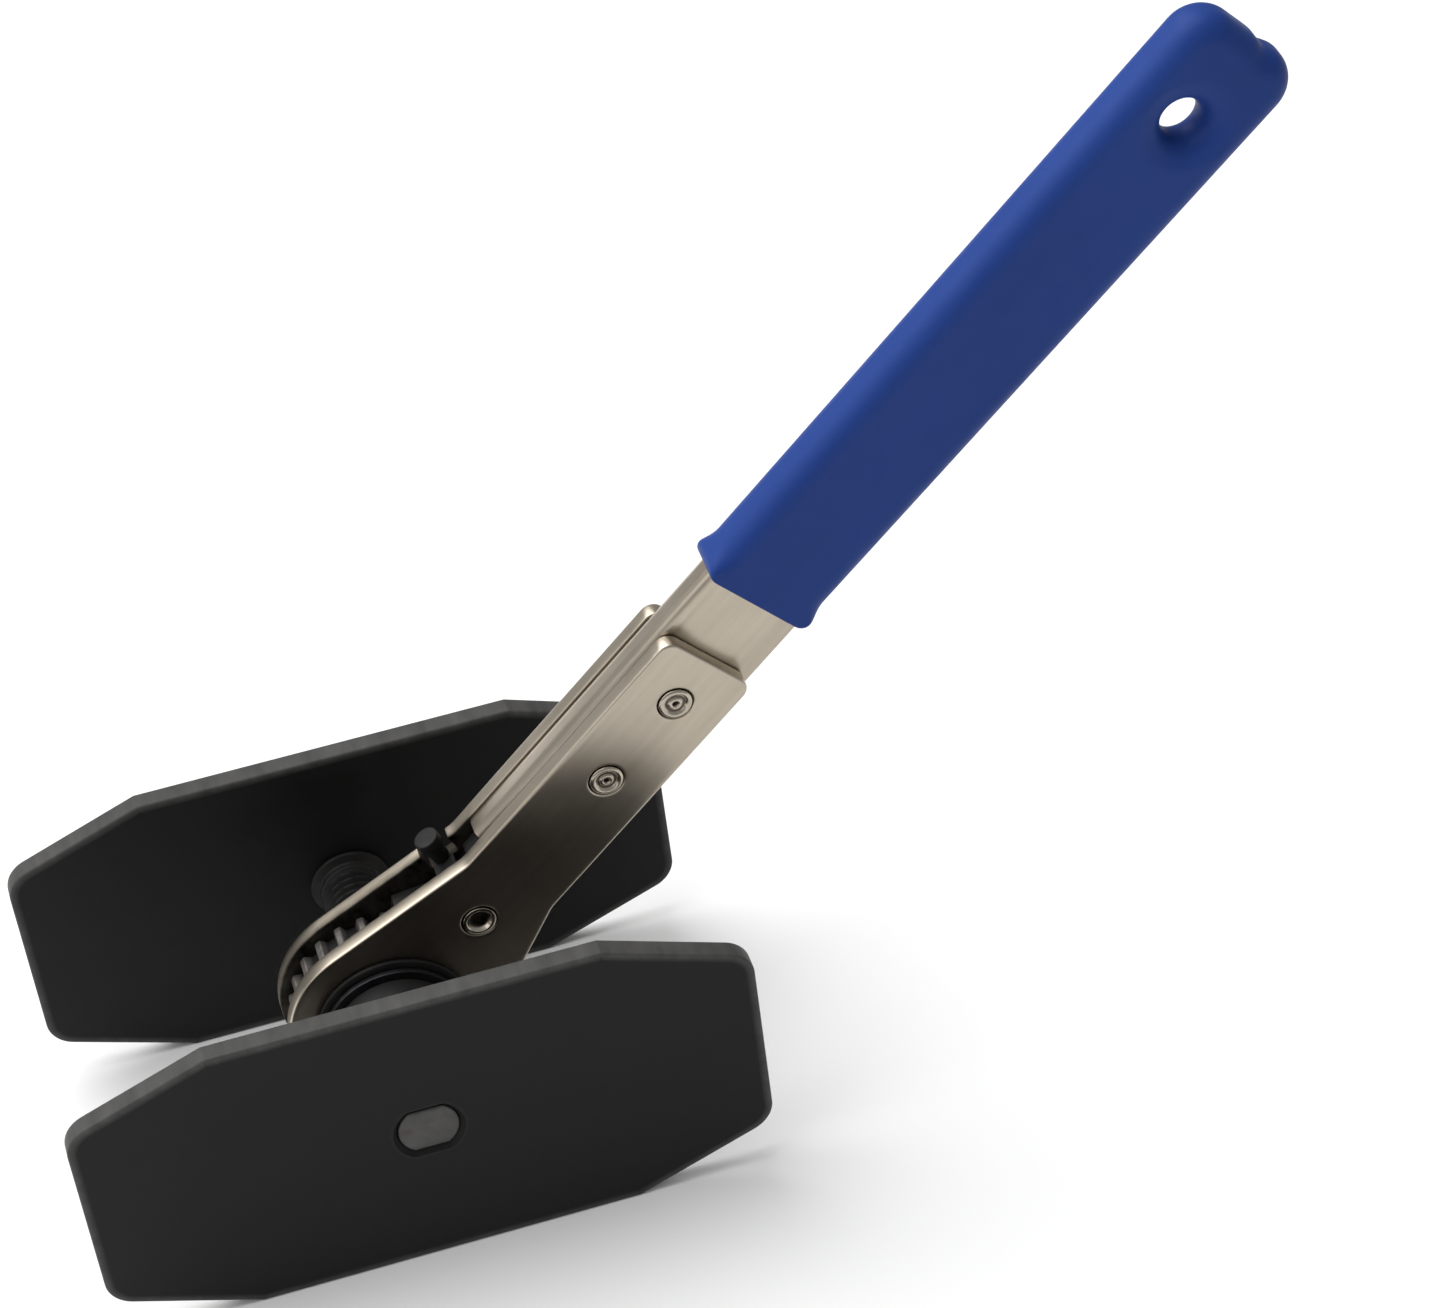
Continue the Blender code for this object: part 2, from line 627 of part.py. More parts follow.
def make_pawl(parts, pin, surface):
    bore = circle((0, 0), PAWL_PIN_RADIUS + CLEARANCE, SMALL_STEPS)
    pawl = slab("pawl", [pawl_outline(), bore], GEAR_THICKNESS, parts, parent=pin, rotation=FLAT)
    return finish(pawl, surface)


def make_knob(parts, pin, surface):
    """A button on a neck, standing on the selector's arm."""
    radius, neck, chamfer = KNOB_RADIUS, SELECTOR_NECK_RADIUS, KNOB_CHAMFER
    foot = SELECTOR_ARM_TOP + CLEARANCE
    profile = [
        (0, KNOB_TOP), (radius - chamfer, KNOB_TOP), (radius, KNOB_TOP - chamfer),
        (radius, KNOB_BOTTOM), (neck, KNOB_BOTTOM), (neck, foot), (0, foot),
    ]
    lean = (0, math.radians(SELECTOR_LEAN), 0)
    place = dict(steps=SMALL_STEPS, parent=pin, location=(0, SELECTOR_OFFSET, 0), rotation=lean)
    return finish(turned("selector_knob", profile, parts, **place), surface)


def make_housing(parts, cutters, pivot, surface):
    """The block between the cheeks that the detent plunger slides in."""
    length = HOUSING_END - HOUSING_START
    half = HOUSING_WIDTH / 2
    outline = rounded([
        (HOUSING_START, -half, 0.001), (HOUSING_END, -half, 0.001),
        (HOUSING_END, half, 0.001), (HOUSING_START, half, 0.001),
    ])
    housing = slab("detent_housing", [outline], CHANNEL_DEPTH, parts, parent=pivot, rotation=FLAT)
    bore = PLUNGER_RADIUS + CLEARANCE
    depth = length - HOUSING_FLOOR
    profile = [(0, depth), (bore, depth), (bore, -HOUSING_FLOOR), (0, -HOUSING_FLOOR)]
    drill = dict(steps=SMALL_STEPS, parent=pivot, location=(HOUSING_START, 0, 0), rotation=ALONG_X)
    combine(housing, turned("plunger_drill", profile, cutters, **drill), "DIFFERENCE")
    return finish(housing, surface)


def make_plunger(parts, slider, surface):
    """A round-nosed plunger, its nose towards the pawl; its own Z runs up the handle."""
    nose = arc((0, PLUNGER_RADIUS), PLUNGER_RADIUS, 0, -90, 8)
    profile = [(0, PLUNGER_LENGTH), (PLUNGER_RADIUS, PLUNGER_LENGTH)]
    profile += [(max(r, 0), z) for r, z in nose]
    place = dict(steps=SMALL_STEPS, parent=slider, rotation=ALONG_X)
    return finish(turned("detent_plunger", profile, parts, **place), surface)


def make_spring(parts, pivot, surface):
    """A coil along the handle, resting on the housing's floor."""
    first = PLUNGER_TIP + PLUNGER_LENGTH + PLUNGER_TRAVEL + CLEARANCE + SPRING_WIRE_RADIUS
    last = HOUSING_END - HOUSING_FLOOR - CLEARANCE - SPRING_WIRE_RADIUS
    coil = SPRING_RADIUS - SPRING_WIRE_RADIUS
    curve = bpy.data.curves.new("detent_spring", "CURVE")
    curve.dimensions = "3D"
    curve.bevel_depth = SPRING_WIRE_RADIUS
    curve.bevel_resolution = 1
    curve.use_fill_caps = True
    spline = curve.splines.new("POLY")
    count = SPRING_TURNS * 12
    spline.points.add(count)
    for i, point in enumerate(spline.points):
        turn = 2 * math.pi * SPRING_TURNS * i / count
        along = first + (last - first) * i / count
        point.co = (along, coil * math.cos(turn), coil * math.sin(turn), 1)
    return finish(curve_to_mesh("detent_spring", curve, parts, parent=pivot), surface)


def build():
    clear_scene()
    parts = new_collection(OBJECT_NAME)
    cutters = new_collection("cutters")
    blackened = material("blackened_steel", (0.016, 0.016, 0.017), 0.5, 0.6)
    nickel = material("satin_nickel", (0.56, 0.50, 0.42), 0.35, 1.0)
    rivet_steel = material("rivet_nickel", (0.62, 0.57, 0.50), 0.3, 1.0)
    vinyl = material("blue_vinyl", (0.03, 0.07, 0.32), 0.5, 0.0)
    spring_steel = material("spring_steel", (0.35, 0.35, 0.36), 0.35, 1.0)

    head = (0, HEAD_MIDDLE, SCREW_HEIGHT)
    tilt = (0, math.radians(-HANDLE_ANGLE), 0)
    gear_axis = new_empty("gear_axis", parts, head, tilt)
    handle_axis = new_empty("handle_axis", parts, head, tilt)
    pawl_axis = new_empty("pawl_axis", parts, (PAWL_PIN_PLACE, 0, 0), parent=handle_axis)
    plunger_slide = new_empty("plunger_slide", parts, (PLUNGER_TIP, 0, 0), parent=handle_axis)

    make_plate("front_plate", 0, -1, parts, cutters, blackened)
    make_plate("back_plate", BACK_PLATE_MIDDLE, 1, parts, cutters, blackened)
    front_face = PLATE_THICKNESS / 2
    back_face = BACK_PLATE_MIDDLE - PLATE_THICKNESS / 2
    make_screw("front_screw", front_face, 1, front_screw_profile(), parts, cutters, blackened)
    make_screw("back_screw", back_face, -1, back_screw_profile(), parts, cutters, blackened)
    make_gear(parts, cutters, gear_axis, blackened)
    for word, side in (("front", -1), ("back", 1)):
        make_hub_washer(word + "_hub_washer", side, parts, handle_axis, blackened)
        make_retaining_ring(word + "_retaining_ring", side, parts, gear_axis, spring_steel)
        make_cheek(word + "_cheek", side, parts, handle_axis, nickel)
    make_channel(parts, cutters, handle_axis, nickel)
    make_grip(parts, cutters, handle_axis, vinyl)
    head_size = (RIVET_HEAD_RADIUS, RIVET_HEAD_HEIGHT)
    dimple = (RIVET_DIMPLE_RADIUS, RIVET_DIMPLE_DEPTH)
    for word, place in RIVET_PLACES.items():
        make_rivet(
            word + "_rivet", place, RIVET_RADIUS, head_size, dimple, parts, handle_axis, rivet_steel
        )
        make_spacer(word + "_rivet_spacer", place, parts, handle_axis, rivet_steel)
    pin_head = (PAWL_PIN_HEAD_RADIUS, PAWL_PIN_HEAD_HEIGHT)
    recess = (PAWL_PIN_RECESS_RADIUS, PAWL_PIN_RECESS_DEPTH)
    make_rivet(
        "pawl_pin", PAWL_PIN_PLACE, PAWL_PIN_RADIUS, pin_head, recess, parts, handle_axis, rivet_steel
    )
    make_pawl(parts, pawl_axis, blackened)
    make_knob(parts, pawl_axis, blackened)
    make_housing(parts, cutters, handle_axis, blackened)
    make_plunger(parts, plunger_slide, spring_steel)
    make_spring(parts, handle_axis, spring_steel)


build()
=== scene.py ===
import json
import math
import bmesh
import bpy
import numpy as np
from mathutils import Matrix, Vector
from mathutils.geometry import tessellate_polygon


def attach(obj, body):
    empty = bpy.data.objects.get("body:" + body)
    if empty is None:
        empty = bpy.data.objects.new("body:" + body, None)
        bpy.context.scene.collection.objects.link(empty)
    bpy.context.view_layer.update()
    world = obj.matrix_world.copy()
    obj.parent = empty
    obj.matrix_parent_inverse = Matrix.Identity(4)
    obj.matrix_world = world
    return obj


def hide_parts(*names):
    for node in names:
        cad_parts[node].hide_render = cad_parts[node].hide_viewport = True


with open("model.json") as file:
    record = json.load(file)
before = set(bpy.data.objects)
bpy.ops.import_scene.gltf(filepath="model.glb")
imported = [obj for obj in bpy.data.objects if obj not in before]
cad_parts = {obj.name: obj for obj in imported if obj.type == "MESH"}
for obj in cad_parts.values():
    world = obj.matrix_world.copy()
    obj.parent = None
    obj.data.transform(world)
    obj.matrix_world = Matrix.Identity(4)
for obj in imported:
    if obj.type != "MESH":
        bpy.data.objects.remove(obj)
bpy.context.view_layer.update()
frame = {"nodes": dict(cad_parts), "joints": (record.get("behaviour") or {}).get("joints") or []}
joints = {joint["name"]: joint for joint in frame["joints"]}
headCentre = np.array(joints["gear_spin"]["pos_m"])
alongHandle = np.array(joints["detent_slide"]["axis"]) / np.linalg.norm(joints["detent_slide"]["axis"])
acrossHandle = np.array([-alongHandle[2], 0.0, alongHandle[0]])
handleAxes = np.stack([alongHandle, [0.0, 1.0, 0.0], acrossHandle])
handleTilt = math.atan2(alongHandle[2], alongHandle[0])
screwAxes = np.eye(3)  # the screws and the plates stand square to the world
pawlPlace = float((np.array(joints["selector_tilt"]["pos_m"]) - headCentre) @ alongHandle)
print("frame loaded:", len(frame["nodes"]), "nodes")


def eased(share):
    # a share from nought to one with a slow start and a slow end
    share = np.clip(share, 0, 1)
    return share * share * (3 - 2 * share)


def toWorld(points, axes):
    # (along, depth, across) measured from the head's centre, turned into world places
    return headCentre + points @ axes


def nodeSpan(node, axes):
    # lowest and highest corner of a CAD node along the given directions, from the head's centre
    mesh = frame["nodes"][node].data
    points = np.empty(len(mesh.vertices) * 3)
    mesh.vertices.foreach_get("co", points)
    local = (points.reshape(-1, 3) - headCentre) @ axes.T
    return local.min(0), local.max(0)


def gridFaces(rows, columns, wrapRows=False, wrapColumns=True, first=0):
    # each cell of the grid as the four indices of its corners
    row, column = np.meshgrid(
        np.arange(rows if wrapRows else rows - 1),
        np.arange(columns if wrapColumns else columns - 1),
        indexing="ij",
    )
    nextRow, nextColumn = (row + 1) % rows, (column + 1) % columns
    corners = [row * columns + column, row * columns + nextColumn,
               nextRow * columns + nextColumn, nextRow * columns + column]
    return first + np.stack(corners, -1).reshape(-1, 4)


def fanFaces(ring, centre):
    # triangles from each pair of neighbours on a ring to one point
    return np.stack([ring, np.roll(ring, -1), np.full(len(ring), centre)], -1)


def makePiece(name, points, faces, material, body, nodes, flat=(), edge=None, sharp=40):
    # puts arrays of points and faces into a mesh, and ties it to the frame
    mesh = bpy.data.meshes.new(name)
    mesh.from_pydata(points.tolist(), [], [list(map(int, face)) for face in faces])
    smooth = np.ones(len(mesh.polygons), bool)
    if len(flat):
        smooth[flat] = False
    mesh.polygons.foreach_set("use_smooth", smooth)
    if edge is not None:
        mesh.attributes.new("edge", "FLOAT", "POINT").data.foreach_set("value", edge)
    work = bmesh.new()
    work.from_mesh(mesh)
    bmesh.ops.recalc_face_normals(work, faces=work.faces)
    for side in work.edges:
        side.smooth = side.calc_face_angle(0) < math.radians(sharp)
    work.to_mesh(mesh)
    work.free()
    mesh.materials.append(material)
    piece = bpy.data.objects.new(name, mesh)
    bpy.context.scene.collection.objects.link(piece)
    if nodes:
        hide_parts(*nodes)
    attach(piece, body)
    return piece


def arc(centre, radius, start, end, count):
    # points on a circle from one angle to another, in degrees
    turn = np.radians(np.linspace(start, end, count))
    return np.stack([centre[0] + radius * np.cos(turn), centre[1] + radius * np.sin(turn)], -1)


def circle(centre, radius, count=72):
    # evenly spaced points once round a circle
    return arc(centre, radius, 0, 360, count + 1)[:-1]


def roundedLoop(corners, step=0.0006):
    # a closed outline from (x, y, radius) corners, each turned by an arc of its radius
    loop = []
    for index, (x, y, radius) in enumerate(corners):
        corner = Vector((x, y))
        before = (Vector(corners[index - 1][:2]) - corner).normalized()
        after = (Vector(corners[(index + 1) % len(corners)][:2]) - corner).normalized()
        half = before.angle(after) / 2
        centre = corner + (before + after).normalized() * (radius / math.sin(half))
        first = corner + before * (radius / math.tan(half)) - centre
        last = corner + after * (radius / math.tan(half)) - centre
        start = math.degrees(math.atan2(first.y, first.x))
        turn = math.degrees(-first.angle_signed(last))
        count = max(4, int(abs(math.radians(turn)) * radius / step))
        loop.append(arc(centre, radius, start, start + turn, count))
    return np.concatenate(loop)


def evenLoop(loop, longest):
    # the same outline with its long runs divided, so that no step is longer than asked
    ends = np.roll(loop, -1, 0)
    parts = np.maximum(1, np.ceil(np.linalg.norm(ends - loop, axis=1) / longest).astype(int))
    start = np.repeat(loop, parts, 0)
    step = np.repeat((ends - loop) / parts[:, None], parts, 0)
    count = np.arange(len(start)) - np.repeat(np.cumsum(parts) - parts, parts)
    return start + step * count[:, None]


def insetLoop(loop, inset):
    # every point moves to the left of its outline by its inset, measured square to both neighbours
    inset = np.broadcast_to(inset, len(loop))[:, None]
    ahead = np.roll(loop, -1, 0) - loop
    ahead /= np.linalg.norm(ahead, axis=1)[:, None]
    left = np.stack([-ahead[:, 1], ahead[:, 0]], -1)
    behind = np.roll(left, 1, 0)
    share = 1 + np.sum(left * behind, 1)
    return loop + inset * (left + behind) / np.maximum(share, 0.3)[:, None]


def edgeRows(near, far, nearRound, farRound, margin, steps=5):
    # (inset, depth, wear) from the near face, over its rounded edge, down the wall and on to the far face
    way = 1 if far > near else -1
    turn = np.linspace(0, math.pi / 2, steps + 1)
    rows = [(nearRound + margin, near, 0.0)]
    rows += [(nearRound * (1 - math.sin(a)), near + way * nearRound * (1 - math.cos(a)), 1.0) for a in turn]
    rows += [(farRound * (1 - math.cos(a)), far - way * farRound * (1 - math.sin(a)), 1.0) for a in turn]
    rows += [(farRound + margin, far, 0.0)]
    return rows


def slabSurface(outer, holes, outerRows, holeRows):
    # outlines carried round the section of their edge; both faces are filled between the outlines
    points, faces, edges, tops, bottoms = [], [], [], [], []
    for loop, rows, side in [(outer, outerRows, 1)] + [(h, r, -1) for h, r in zip(holes, holeRows)]:
        first = sum(map(len, points))
        for inset, depth, wear in rows:
            moved = insetLoop(loop, side * inset)
            points.append(np.stack([moved[:, 0], np.broadcast_to(depth, len(loop)), moved[:, 1]], -1))
            edges.append(np.full(len(loop), wear))
        faces.append(gridFaces(len(rows), len(loop), first=first))
        tops.append(first + np.arange(len(loop)))
        bottoms.append(first + (len(rows) - 1) * len(loop) + np.arange(len(loop)))
    points = np.concatenate(points)
    faces = [face for group in faces for face in group]
    flat = []
    for rings in (tops, bottoms):
        order = np.concatenate(rings)
        filled = tessellate_polygon([[Vector((*points[i][[0, 2]], 0)) for i in ring] for ring in rings])
        flat += range(len(faces), len(faces) + len(filled))
        faces += [order[list(triangle)] for triangle in filled]
    return points, faces, flat, np.concatenate(edges)


def turnedSurface(radii, heights, closed=False):
    # a radius for each height and angle, carried round the axis; open ends are closed by a point
    rows, columns = radii.shape
    turn = np.linspace(0, 2 * math.pi, columns, endpoint=False)
    depth = np.repeat(np.asarray(heights, float)[:, None], columns, 1)
    points = np.stack([radii * np.sin(turn), depth, radii * np.cos(turn)], -1).reshape(-1, 3)
    faces = list(gridFaces(rows, columns, wrapRows=closed))
    if not closed:
        last = rows * columns
        points = np.concatenate([points, [[0, heights[0], 0], [0, heights[-1], 0]]])
        faces += list(fanFaces(np.arange(columns), last))
        faces += list(fanFaces(np.arange(last - columns, last), last + 1))
    return points, faces


def plainTurned(profile, columns=96, closed=False):
    # a turned piece from (radius, height) pairs
    profile = np.array(profile)
    return turnedSurface(np.repeat(profile[:, :1], columns, 1), profile[:, 1], closed)


def softProfile(profile, radius, steps=4):
    # the profile with each inner corner replaced by a short arc
    soft = [profile[0]]
    for before, corner, after in zip(profile[:-2], profile[1:-1], profile[2:]):
        a, c, b = np.array(before), np.array(corner), np.array(after)
        reach = min(radius, np.linalg.norm(a - c) * 0.45, np.linalg.norm(b - c) * 0.45)
        start = c + (a - c) / np.linalg.norm(a - c) * reach
        end = c + (b - c) / np.linalg.norm(b - c) * reach
        for share in np.linspace(0, 1, steps + 1):
            soft.append(tuple((1 - share) ** 2 * start + 2 * share * (1 - share) * c + share**2 * end))
    soft.append(profile[-1])
    return soft


def addNode(tree, kind, inputs=None, **settings):
    # a node with its inputs either linked or set
    made = tree.nodes.new(kind)
    for key, value in settings.items():
        setattr(made, key, value)
    for key, value in (inputs or {}).items():
        if isinstance(value, bpy.types.NodeSocket):
            tree.links.new(value, made.inputs[key])
        else:
            made.inputs[key].default_value = value
    return made


def newMaterial(name, metallic=0.0, specular=0.5):
    # a Principled material with its even values set
    material = bpy.data.materials.new(name)
    material.use_nodes = True
    shader = material.node_tree.nodes["Principled BSDF"]
    shader.inputs["Metallic"].default_value = metallic
    shader.inputs["Specular IOR Level"].default_value = specular
    return material, material.node_tree, shader


def patches(tree, scale, detail=4.0, stretch=(1, 1, 1), tilt=0.0):
    # noise in the piece's own space, which a stretch turns into streaks along a direction
    place = addNode(tree, "ShaderNodeTexCoord")
    turned = addNode(tree, "ShaderNodeMapping", {"Vector": place.outputs["Object"], "Rotation": (0, tilt, 0)})
    sized = addNode(tree, "ShaderNodeMapping", {"Vector": turned.outputs[0], "Scale": stretch})
    noise = addNode(tree, "ShaderNodeTexNoise", {
        "Vector": sized.outputs[0], "Scale": scale, "Detail": detail, "Roughness": 0.55})
    return noise.outputs["Fac"]


def ranged(tree, value, low, high, fromLow=0.3, fromHigh=0.7):
    # the middle of a noise spread between two values
    made = addNode(tree, "ShaderNodeMapRange", {
        "Value": value, "From Min": fromLow, "From Max": fromHigh, "To Min": low, "To Max": high})
    return made.outputs[0]


def blended(tree, share, first, second):
    # one colour over another by a share that varies over the surface
    mix = addNode(tree, "ShaderNodeMix", data_type="RGBA")
    for socket, value in (("Factor_Float", share), ("A_Color", first), ("B_Color", second)):
        found = next(s for s in mix.inputs if s.identifier == socket)
        if isinstance(value, bpy.types.NodeSocket):
            tree.links.new(value, found)
        elif socket == "Factor_Float":
            found.default_value = value
        else:
            found.default_value = (*value, 1)
    return next(s for s in mix.outputs if s.identifier == "Result_Color")


def bumped(tree, shader, height, strength, distance):
    # fine relief from a height
    bump = addNode(tree, "ShaderNodeBump", {"Height": height, "Strength": strength, "Distance": distance})
    tree.links.new(bump.outputs[0], shader.inputs["Normal"])


def wearOrPaintedShade(tree):
    # how far a point is worn bare, or on nickel how strong its painted shade is, from nought to one
    return addNode(tree, "ShaderNodeAttribute", attribute_name="edge").outputs["Fac"]


def product(tree, first, second):
    # two shares multiplied
    return addNode(tree, "ShaderNodeMath", {0: first, 1: second}, operation="MULTIPLY").outputs[0]


def blackPlateMaterial():
    # rolled plate under a thin black finish, rubbed to grey where it was cut
    look = {"dark": (0.0050, 0.0050, 0.0050), "pale": (0.0085, 0.0085, 0.0087), "cut": (0.074, 0.073, 0.071)}
    material, tree, shader = newMaterial("blackPlateFinish", specular=0.17)
    cloudy = patches(tree, 42, 5, stretch=(1, 1, 1.8))
    face = blended(tree, ranged(tree, cloudy, 0, 1), look["dark"], look["pale"])
    worn = product(tree, wearOrPaintedShade(tree), ranged(tree, patches(tree, 260, 5, stretch=(1, 0.25, 1)), 0.55, 1))
    tree.links.new(blended(tree, worn, face, look["cut"]), shader.inputs["Base Color"])
    tree.links.new(ranged(tree, cloudy, 0.46, 0.60), shader.inputs["Roughness"])
    bumped(tree, shader, patches(tree, 900, 3), 0.12, 0.0002)
    return material


def blackOxideMaterial():
    # oiled black oxide with browner, thinner patches
    look = {"dark": (0.0085, 0.0085, 0.0088), "brown": (0.018, 0.016, 0.014), "bare": (0.17, 0.16, 0.15)}
    material, tree, shader = newMaterial("oiledBlackOxide", specular=0.22)
    cloudy = patches(tree, 160, 5)
    colour = blended(tree, ranged(tree, cloudy, 0, 1, 0.42, 0.75), look["dark"], look["brown"])
    bare = product(tree, wearOrPaintedShade(tree), ranged(tree, patches(tree, 700, 4), 0.35, 1))
    tree.links.new(blended(tree, bare, colour, look["bare"]), shader.inputs["Base Color"])
    tree.links.new(bare, shader.inputs["Metallic"])
    tree.links.new(ranged(tree, patches(tree, 420, 4), 0.46, 0.62), shader.inputs["Roughness"])
    bumped(tree, shader, patches(tree, 1500, 3), 0.10, 0.0002)
    return material


def setEndMaterial():
    # the screw's set end, rubbed to grey, with a little rust where oil has gone
    look = {"grey": (0.062, 0.061, 0.058), "pale": (0.085, 0.084, 0.081), "rust": (0.070, 0.050, 0.038)}
    material, tree, shader = newMaterial("rubbedSetEnd", metallic=0.25, specular=0.35)
    grey = blended(tree, ranged(tree, patches(tree, 240, 4), 0, 1), look["grey"], look["pale"])
    rusty = ranged(tree, patches(tree, 330, 5), 0, 0.7, 0.58, 0.72)
    tree.links.new(blended(tree, rusty, grey, look["rust"]), shader.inputs["Base Color"])
    tree.links.new(ranged(tree, patches(tree, 500, 4), 0.42, 0.58), shader.inputs["Roughness"])
    bumped(tree, shader, patches(tree, 1300, 3), 0.2, 0.0002)
    return material


def nickelMaterial(name, dark, pale, rough, streak):
    # warm nickel plate over stamped steel: faint streaks along the handle, cloudy tarnish,
    # and a dark, dull painted shade where the piece's edge attribute asks for it
    paintedShadeLook = {"colour": (0.006, 0.0055, 0.005), "dulling": 0.35}
    cloudRange = 0.02
    material, tree, shader = newMaterial(name, metallic=1.0)
    streaks = patches(tree, 500, 3, stretch=(streak, 1, 1), tilt=handleTilt)
    cloudy = patches(tree, 55, 5)
    mixed = addNode(tree, "ShaderNodeMath", {0: streaks, 1: cloudy}, operation="ADD").outputs[0]
    base = blended(tree, ranged(tree, mixed, 0, 1, 0.7, 1.3), dark, pale)
    # painted shade: the edge attribute darkens and dulls the nickel where shade and dark reflections fall
    paintedShadeMask = product(tree, wearOrPaintedShade(tree), ranged(tree, patches(tree, 300, 4), 0.8, 1))
    tree.links.new(blended(tree, paintedShadeMask, base, paintedShadeLook["colour"]), shader.inputs["Base Color"])
    clean = ranged(tree, cloudy, rough - cloudRange, rough + cloudRange)
    dull = addNode(tree, "ShaderNodeMath", {0: paintedShadeMask, 1: paintedShadeLook["dulling"], 2: clean}, operation="MULTIPLY_ADD")
    tree.links.new(dull.outputs[0], shader.inputs["Roughness"])
    return material


def vinylMaterial():
    # dipped vinyl: even blue with slow clouding and a fine orange peel
    look = {"deep": (0.0105, 0.037, 0.192), "clear": (0.014, 0.048, 0.236)}
    material, tree, shader = newMaterial("blueDippedVinyl", specular=0.15)
    cloudy = patches(tree, 26, 4, stretch=(0.5, 1, 1), tilt=handleTilt)
    colour = blended(tree, ranged(tree, cloudy, 0, 1), look["deep"], look["clear"])
    tree.links.new(colour, shader.inputs["Base Color"])
    tree.links.new(ranged(tree, patches(tree, 180, 4), 0.44, 0.56), shader.inputs["Roughness"])
    bumped(tree, shader, patches(tree, 1100, 3), 0.10, 0.0003)
    return material


def springMaterial():
    # blued spring steel
    look = {"deep": (0.022, 0.022, 0.025), "pale": (0.045, 0.045, 0.052)}
    material, tree, shader = newMaterial("bluedSpringSteel", metallic=0.8)
    cloudy = patches(tree, 220, 4)
    colour = blended(tree, ranged(tree, cloudy, 0, 1), look["deep"], look["pale"])
    tree.links.new(colour, shader.inputs["Base Color"])
    tree.links.new(ranged(tree, cloudy, 0.42, 0.52), shader.inputs["Roughness"])
    return material


blackPlate = blackPlateMaterial()
blackOxide = blackOxideMaterial()
setEnd = setEndMaterial()
satinNickel = nickelMaterial("satinNickel", (0.42, 0.368, 0.295), (0.50, 0.445, 0.365), 0.31, 0.06)
rivetNickel = nickelMaterial("rivetNickel", (0.42, 0.37, 0.30), (0.54, 0.49, 0.41), 0.26, 1.0)
blueVinyl = vinylMaterial()
bluedSteel = springMaterial()
print("materials ready")


plateShape = {
    "longEdge": 0.080, "endEdge": 0.0466, "endCorner": 0.0070, "wideCorner": 0.0012,
    "edgeRound": 0.00055, "margin": 0.0014, "countersink": 0.0011, "sinkMargin": 0.0006, "sinkWear": 0.15,
    "farMargin": 0.0004,
}
setEndShape = {
    "radius": 0.0063, "flats": 0.0104, "step": 0.0006, "gap": 0.00012, "dome": 0.00025, "round": 0.0004,
}


def doubleD(turn, radius, flats):
    # a circle cut by two level flats: the smaller of the radius and the way to the flat
    return np.minimum(radius, flats / 2 / np.maximum(np.abs(np.cos(turn)), 1e-6))


def makePlate(name, outward, body):
    # an eight-cornered slab with a double-D hole sunk on the outer face
    low, high = nodeSpan(name, screwAxes)
    half, top = high[0], high[2]
    edge, end = plateShape["longEdge"] / 2, plateShape["endEdge"] / 2
    soft, wide = plateShape["endCorner"], plateShape["wideCorner"]
    outline = roundedLoop([
        (-edge, -top, wide), (edge, -top, wide), (half, -end, soft), (half, end, soft),
        (edge, top, wide), (-edge, top, wide), (-half, end, soft), (-half, -end, soft),
    ])
    near, far = (low[1], high[1]) if outward < 0 else (high[1], low[1])
    rows = edgeRows(near, far, plateShape["edgeRound"], plateShape["edgeRound"], plateShape["margin"])
    turn = np.linspace(0, 2 * math.pi, 144, endpoint=False)
    gap = setEndShape["gap"]
    reach = doubleD(turn, setEndShape["radius"] + gap, setEndShape["flats"] + 2 * gap)
    hole = np.stack([reach * np.sin(-turn), reach * np.cos(-turn)], -1)
    sink, inward = plateShape["countersink"], -outward
    holeRows = [
        (sink + plateShape["sinkMargin"], near, 0.0), (sink, near, plateShape["sinkWear"]),
        (sink * 0.9, near + inward * sink * 0.15, 0.0), (0.0, near + inward * sink, 0.0),
        (0.0, far, 0.0), (plateShape["farMargin"], far, 0.0),
    ]
    points, faces, flat, wear = slabSurface(evenLoop(outline, 0.002), [hole], rows, [holeRows])
    makePiece(
        name + "_finished", toWorld(points, screwAxes), faces, blackPlate, body, [name],
        flat, wear,
    )


def threadRadius(turn, heights, crest, screw):
    # a clipped triangle wave along the screw, moved on by the angle to make a helix
    phase = (heights[:, None] / screw["lead"] + screw["hand"] * turn / (2 * math.pi)) % 1
    wave = np.clip((np.abs(phase - 0.5) * 2 - 0.18) / 0.64, 0, 1)
    start = np.clip((heights[:, None] - screw["plain"]) / screw["lead"], 0, 1)
    return crest - screw["depth"] * wave * start


